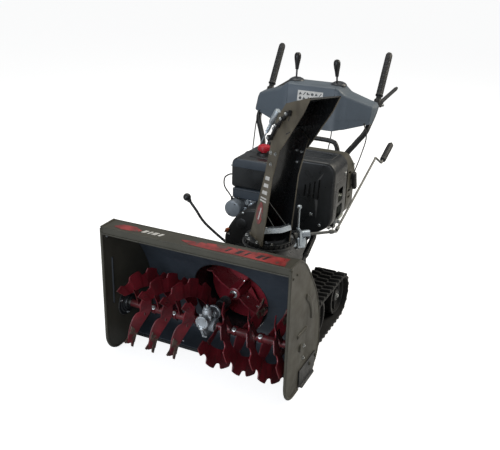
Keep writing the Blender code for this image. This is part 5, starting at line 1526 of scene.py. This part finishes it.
def build_wheel(kind, name, side, y, body):
    bore = 0.0085 if kind == "idler" else 0.0
    radius = 0.0834
    profile = [(bore, 0.2250), (0.030, 0.2250), (0.032, 0.2300), (0.074, 0.2300), (0.076, 0.2250),
               (radius - 0.001, 0.2250), (radius, 0.2262), (radius, 0.3238),
               (radius - 0.001, 0.3250), (0.0740, 0.3250), (0.0720, 0.3235), (0.0700, 0.3120),
               (0.0640, 0.3080), (0.0320, 0.3040), (0.0280, 0.3060), (0.0265, 0.3190),
               (0.0240, 0.3210), (bore, 0.3210)]
    if not bore:
        profile = [(0, 0.2250), *profile[1:-1], (0, 0.3210)]
    wheel = add(f"{kind}_{name}_moulding",
                turned(profile, (0, y, 0.106), (side, 0, 0), 56), "plastic", body,
                (f"{kind}_{name}",))
    holes, ribs = [], []
    for i in range(5):
        a = radians(18 + 72 * i)
        holes.append(rod((side * 0.20, y + 0.050 * cos(a), 0.106 + 0.050 * sin(a)),
                         (side * 0.34, y + 0.050 * cos(a), 0.106 + 0.050 * sin(a)), 0.0095, 28))
        b = a + radians(36)
        rib = block((0.0495, 0, 0.3100), (0.040, 0.0045, 0.0100), 0.001)
        spin = (Matrix.Translation((0, y, 0.106)) @ Matrix.Rotation(b, 4, "X")
                @ Matrix(((0, 0, side, 0), (1, 0, 0, 0), (0, 1, 0, 0), (0, 0, 0, 1))))
        ribs.append(moved(rib, spin))
    cut(wheel, *holes)
    add(f"{kind}_{name}_ribs", merged(*ribs), "plastic", body)
    bolts = [hex_bolt((side * 0.3212, y, 0.106), (side, 0, 0), 0.0085, 0.0060)]
    for i in range(4):
        a = radians(45 + 90 * i)
        bolts.append(hex_bolt((side * 0.3208, y + 0.0175 * cos(a), 0.106 + 0.0175 * sin(a)),
                              (side, 0, 0), 0.0034, 0.003, False))
    add(f"{kind}_{name}_bolts", merged(*bolts), "bolt", body)
    if not bore:
        shaft = rod((side * 0.1305, y, 0.106), (side * 0.226, y, 0.106), 0.0110, 28, 0.001)
        add(f"axle_{name}", shaft, "zinc_dull", body)


# Handlebars and controls ---------------------------------------------------------------

GRIP_LOW = Vector((0.275, 1.284, 0.873))
GRIP_TOP = Vector((0.275, 1.409, 1.069))
ALONG = (GRIP_TOP - GRIP_LOW).normalized()


def flip(point, side):
    point = Vector(point)
    return Vector((point.x * side, point.y, point.z))


def build_handlebars():
    for side, name in ((1, "left"), (-1, "right")):
        route = [(0.200, 0.9420, 0.330), (0.200, 0.9430, 0.400), (0.201, 0.992, 0.520),
                 (0.205, 1.050, 0.632), (0.236, 1.092, 0.690), (0.267, 1.128, 0.738),
                 (0.2745, 1.165, 0.774), (0.2745, 1.232, 0.814), GRIP_LOW - 0.012 * ALONG,
                 GRIP_LOW + 0.012 * ALONG, GRIP_TOP - 0.020 * ALONG]
        tube = sweep([flip(p, side) for p in smooth_curve(route, 8)], 0.0127, 24)
        add(f"handlebar_{name}_tube", tube, "black", "machine", (f"handlebar_{name}",))
        bolts = [hex_bolt((side * 0.2128, 0.9435, z), (side, 0, 0), 0.0065, 0.005)
                 for z in (0.345, 0.395)]
        bolts += [hex_bolt((side * 0.2140, y, z), (side, 0.2, 0), 0.0060, 0.005)
                  for y, z in ((1.030, 0.600),)]
        add(f"handlebar_{name}_bolts", merged(*bolts), "bolt", "machine")
        plate = pillow(rounded([(0.925, 0.325), (0.965, 0.325), (0.972, 0.412), (0.935, 0.412)],
                               0.008), "x", round_stations(*sorted((side * 0.2115, side * 0.2145)),
                                                           0.0008, 0.0008, 3))
        add(f"handlebar_{name}_gusset", plate, "black", "machine")
        build_grip(side, name)
        build_clutch(side, name)
    bow = smooth_curve([(-0.1862, 1.035, 0.600), (-0.186, 1.045, 0.640), (-0.172, 1.060, 0.680),
                        (-0.135, 1.066, 0.698), (0, 1.066, 0.700), (0.135, 1.066, 0.698),
                        (0.172, 1.060, 0.680), (0.186, 1.045, 0.640), (0.1862, 1.035, 0.600)], 8)
    add("cross_tube_bent", sweep([(p.x * 0.925, p.y, p.z) for p in bow], 0.0110, 20), "black",
        "machine", ("cross_tube",))


def build_grip(side, name):
    foot = GRIP_LOW + 0.012 * ALONG
    profile = [(0.0134, 0), (0.0175, 0), (0.0184, 0.002), (0.0180, 0.006), (0.0160, 0.010)]
    for i in range(24):
        z = 0.014 + 0.0077 * i
        profile += [(0.0158, z), (0.0165, z + 0.0012), (0.0165, z + 0.0044), (0.0158, z + 0.0056)]
    profile += [(0.0160, 0.204), (0.0150, 0.210), (0.0100, 0.2180), (0, 0.221), (0, 0.2070),
                (0.0134, 0.2070)]
    add(f"grip_{name}_ribbed", turned(profile, flip(foot, side), flip(ALONG, side), 32), "grip",
        "machine", (f"grip_{name}",))
    dots = []
    across = ALONG.cross(Vector((1, 0, 0))).normalized()
    for i in range(8):
        for turn in (-0.75, -0.15, 0.45):
            out = (cos(turn) * across + sin(turn) * Vector((1, 0, 0)))
            place = foot + ALONG * (0.030 + 0.0231 * i) + out * 0.0162
            dots.append(turned([(0, 0), (0.0013, 0), (0.0010, 0.0006), (0, 0.0008)],
                               flip(place, side), flip(out, side), 8))
            place = foot + ALONG * (0.030 + 0.0231 * i) - out * 0.0162
            dots.append(turned([(0, 0), (0.0013, 0), (0.0010, 0.0006), (0, 0.0008)],
                               flip(place, side), flip(-out, side), 8))
    add(f"grip_{name}_dots", merged(*dots), "starter", "machine")


def build_clutch(side, name):
    base = GRIP_LOW - 0.020 * ALONG + Vector((0, 0.0260, -0.016))
    end = Vector((0.275, 1.6192, 0.868))
    route = [base, base + Vector((0, 0.030, 0.006)), base + Vector((0, 0.080, 0.010)), end]
    points = smooth_curve(route, 10)
    count = len(points)
    radii = [0.0095 + 0.0012 * sin(pi * min(i / count * 1.4, 1.0)) for i in range(count)]
    radii[-1], radii[-2] = 0.0070, 0.0098
    lever = sweep([flip(p, side) for p in points], radii, 22)
    hub = rod(flip(base - Vector((0.0135, 0, 0)), side), flip(base + Vector((0.0135, 0, 0)), side),
              0.0115, 30, 0.0015)
    add(f"clutch_{name}_paddle", merged(lever, hub), "plastic", f"clutch_{name}",
        (f"clutch_lever_{name}",))
    bracket = [turned([(0.0130, -0.016), (0.0178, -0.016), (0.0184, -0.012), (0.0184, 0.010),
                       (0.0178, 0.013), (0.0130, 0.013)],
                      flip(GRIP_LOW - 0.020 * ALONG, side), flip(ALONG, side), 30)]
    for shift in (-0.0175, 0.0175):
        cheek = block(Vector((shift, 0.0, 0.0)) + base + Vector((0, -0.012, 0.008)),
                      (0.0035, 0.040, 0.026), 0.0015)
        if side < 0:
            bmesh.ops.scale(cheek, vec=(-1, 1, 1), verts=cheek.verts)
            closed(cheek)
        bracket.append(cheek)
    bracket.append(block(flip(GRIP_LOW - 0.045 * ALONG + Vector((0, -0.012, 0.004)), side),
                         (0.020, 0.018, 0.026), 0.003))
    add(f"clutch_{name}_bracket", merged(*bracket), "plastic", "machine")
    pin = [hex_bolt(flip(base + Vector((0.0196, 0, 0)), side), (side, 0, 0), 0.0056, 0.004),
           hex_bolt(flip(base - Vector((0.0196, 0, 0)), side), (-side, 0, 0), 0.0056, 0.004)]
    add(f"clutch_{name}_pins", merged(*pin), "bolt", "machine")


def ease(value):
    value = min(max(value, 0.0), 1.0)
    return value * value * (3 - 2 * value)


def console_corners(x, inward):
    share = ease((abs(x) - 0.118) / 0.054)
    wing = min(max((abs(x) - 0.170) / 0.124, 0.0), 1.0)
    top = 0.936 - 0.034 * share - 0.042 * wing
    foot = 0.738 + 0.010 * share + 0.036 * wing
    front = 1.082 + 0.012 * share + 0.040 * wing
    back = 1.236 + 0.006 * wing
    corners = [(front, foot), (front + 0.030, top - 0.004), (back, top),
               (back + 0.004, top - 0.052 + 0.036 * wing)]
    if inward:
        corners = [(corners[0][0] + inward, corners[0][1]),
                   (corners[1][0] + inward, corners[1][1] - inward),
                   (corners[2][0] - inward, corners[2][1] - inward),
                   (corners[3][0] - inward, corners[3][1])]
    return corners


def bent(corners, radius, steps=5):
    """Open path with its inner corners rounded."""
    path = [tuple(corners[0])]
    for before, here, after in zip(corners, corners[1:], corners[2:]):
        here = Vector(here)
        a, b = Vector(before) - here, Vector(after) - here
        reach = min(radius, a.length * 0.45, b.length * 0.45)
        start, end = here + a.normalized() * reach, here + b.normalized() * reach
        for k in range(steps + 1):
            t = k / steps
            path.append(tuple((1 - t) ** 2 * start + 2 * t * (1 - t) * here + t * t * end))
    path.append(tuple(corners[-1]))
    return path


def build_console():
    half = 0.294
    xs = [-half + 2 * half * i / 56 for i in range(57)]
    bm = bmesh.new()
    loops = []
    for x in xs:
        squeeze = 0.0
        gap = half - abs(x)
        if gap < 0.010:
            squeeze = 0.010 - math.sqrt(max(0.0, 0.010 ** 2 - (0.010 - gap) ** 2))
        outer = bent(console_corners(x, squeeze), 0.014)
        inner = bent(console_corners(x, squeeze + 0.0030), 0.011)
        loops.append([bm.verts.new((x, y, z)) for y, z in outer + inner[::-1]])
    count = len(loops[0])
    for first, second in zip(loops, loops[1:]):
        for j in range(count):
            k = (j + 1) % count
            bm.faces.new((first[j], first[k], second[k], second[j]))
    bm.faces.new(loops[0])
    bm.faces.new(loops[-1])
    closed(bm)
    ends = []
    for side in (1, -1):
        outline = bent(console_corners(half, 0.0085), 0.010)
        ends.append(prism(outline, "x", *sorted((side * 0.2885, side * 0.2925))))
    shell = add("console_moulding", merged(bm, *ends), "slate", "machine", ("console",))
    cut(shell, *[block((side * 0.105, 1.192, 0.93), (0.014, 0.070, 0.060)) for side in (1, -1)])
    seams = []
    for side in (1, -1):
        face = [(side * (0.118 - 0.010 * t), 1.1135 - 0.0305 * t - 0.0005, 0.931 - 0.180 * t)
                for t in (i / 10 for i in range(8))]
        seams.append(sweep(face, 0.0016, 6))
        wing = [(side * (0.120 + 0.170 * t), *front_point(side * (0.120 + 0.170 * t), 0.28))
                for t in (i / 12 for i in range(13))]
        seams.append(sweep(wing, 0.0009, 6))
    add("console_creases", merged(*seams), "slate", "machine")
    domes = []
    for side in (1, -1):
        at = Vector((side * 0.105, 1.196, 0.9345))
        dome = turned([(0.0100, 0.0140), (0.0200, 0.0125), (0.0310, 0.0070), (0.0370, 0.0010),
                       (0.0380, -0.0030), (0.0100, -0.0030)], at, (0, 0, 1), 48)
        domes.append(dome)
    add("lever_domes", merged(*domes), "dome", "machine")
    build_panel_marks()
    build_levers()


def front_point(x, share):
    """Point (y, z) on the console's front face; share runs from its foot to its top."""
    (y0, z0), (y1, z1) = console_corners(x, 0.0)[:2]
    return y0 + (y1 - y0) * share - 0.0002, z0 + (z1 - z0) * share


def face_patch(outline, low=0.0001, high=0.0006):
    """Thin prism on the console's front face; outline holds (x, share)."""
    bm = bmesh.new()
    out = Vector((0, -0.985, 0.155))
    face = bm.faces.new([bm.verts.new(Vector((x, *front_point(x, s))) + out * low)
                         for x, s in outline])
    lifted = [v for v in bmesh.ops.extrude_face_region(bm, geom=[face])["geom"]
              if isinstance(v, bmesh.types.BMVert)]
    bmesh.ops.translate(bm, vec=out * (high - low), verts=lifted)
    return closed(bm)


def build_panel_marks():
    """Generic pictogram panel: a pale plate with dark strokes and dots."""
    plate = face_patch([(-0.062, 0.615), (0.062, 0.615), (0.062, 0.865), (-0.062, 0.865)])
    add("panel_plate", plate, "decal_white", "machine")
    marks = []
    for row in range(2):
        for column in range(6):
            x = -0.052 + 0.0195 * column
            s = 0.655 + 0.105 * row
            kind = (row * 5 + column) % 4
            if kind == 0:
                shape = [(x + 0.007 * cos(a) + 0.004, s + 0.030 + 0.034 * sin(a))
                         for a in (2 * pi * i / 14 for i in range(14))]
            elif kind == 1:
                shape = [(x - 0.004, s), (x + 0.011, s + 0.015), (x + 0.002, s + 0.070)]
            elif kind == 2:
                shape = [(x - 0.003, s), (x + 0.001, s), (x + 0.011, s + 0.070),
                         (x + 0.006, s + 0.070)]
            else:
                shape = [(x - 0.004, s + 0.010), (x + 0.011, s + 0.010), (x + 0.011, s + 0.030),
                         (x + 0.004, s + 0.034), (x + 0.002, s + 0.066), (x - 0.004, s + 0.062)]
            marks.append(face_patch(shape, 0.0006, 0.0009))
    add("panel_marks", merged(*marks), "decal_black", "machine")


def build_levers():
    for side, name, body in ((1, "deflector", "deflector_control"), (-1, "speed",
                                                                       "speed_control")):
        pivot = Vector((side * 0.105, 1.185, 0.862))
        tip_at = Vector((-0.105, 1.192, 1.064)) if side < 0 else Vector((0.100, 1.158, 1.052))
        length = (tip_at - pivot).length
        profile = [(0, 0), (0.0042, 0), (0.0042, length - 0.080), (0.0078, length - 0.078),
                   (0.0086, length - 0.070), (0.0104, length - 0.056), (0.0142, length - 0.036),
                   (0.0158, length - 0.024), (0.0156, length - 0.013), (0.0128, length - 0.005),
                   (0.0080, length - 0.001), (0, length)]
        stick = turned(profile, pivot, tip_at - pivot, 36)
        hub = rod(pivot - Vector((0.010, 0, 0)), pivot + Vector((0.010, 0, 0)), 0.009, 24, 0.001)
        add(f"{name}_stick", merged(stick, hub), "knob", body, (f"{name}_lever",))


def build_side_controls():
    pivot = Vector((-0.1420, 0.600, 0.296))
    route = [pivot, Vector((-0.175, 0.600, 0.310)), Vector((-0.272, 0.600, 0.374)),
             Vector((-0.318, 0.600, 0.428)), Vector((-0.363, 0.600, 0.480))]
    stick = sweep(smooth_curve(route, 10), 0.0060, 18)
    hub = rod(pivot - Vector((0.008, 0, 0)), pivot + Vector((0.0125, 0, 0)), 0.012, 30, 0.0015)
    ball = bmesh.new()
    bmesh.ops.create_uvsphere(ball, u_segments=36, v_segments=24, radius=0.0175)
    bmesh.ops.translate(ball, vec=route[-1], verts=ball.verts)
    neck = turned([(0, -0.024), (0.0080, -0.024), (0.0105, -0.016), (0.0105, -0.010),
                   (0, -0.010)], route[-1], route[-1] - route[-2], 26)
    add("height_stick", merged(stick, hub, neck, ball), "black", "height_control",
        ("height_lever",))
    routes = {
        "cable_auger": [(-0.262, 1.120, 0.786), (-0.268, 1.102, 0.730), (-0.262, 1.070, 0.660),
                        (-0.250, 1.025, 0.560), (-0.232, 0.990, 0.450), (-0.160, 0.978, 0.376)],
        "cable_drive": [(0.262, 1.120, 0.786), (0.284, 1.102, 0.730), (0.278, 1.070, 0.660),
                        (0.258, 1.025, 0.560), (0.232, 0.990, 0.450), (0.160, 0.978, 0.376)],
        "cable_speed": [(0.110, 1.116, 0.790), (0.112, 1.110, 0.700), (0.108, 1.030, 0.560),
                        (0.090, 0.980, 0.460), (0.060, 0.978, 0.376)],
    }
    for node, path in routes.items():
        line = sweep(smooth_curve(path, 10), 0.0026, 12)
        add(f"{node}_sheath", line, "cable", "machine", (node,))
    start = Vector((0.193, 0.745, 0.362))
    aim = Vector((0.0, -0.860, -0.510))
    profile = [(0, 0), (0.0080, 0), (0.0110, 0.004), (0.0110, 0.010)]
    for i in range(12):
        z = 0.012 + 0.009 * i
        profile += [(0.0112, z), (0.0130, z + 0.0018), (0.0130, z + 0.0042), (0.0112, z + 0.006)]
    profile += [(0.0110, 0.124), (0.0070, 0.130), (0.0070, 0.196), (0.0055, 0.200), (0, 0.200)]
    add("height_strut_bellows", turned(profile, start, aim, 32), "plastic", "machine",
        ("height_strut",))


build_camera()
build_studio()
build_plates()
build_housing()
build_bar_decals()
build_augers()
build_gearbox()
build_impeller()
build_chute()
build_engine()
build_chassis()
build_tracks()
build_handlebars()
build_console()
build_side_controls()
restyle("impeller_drum", "black", 0.0010)
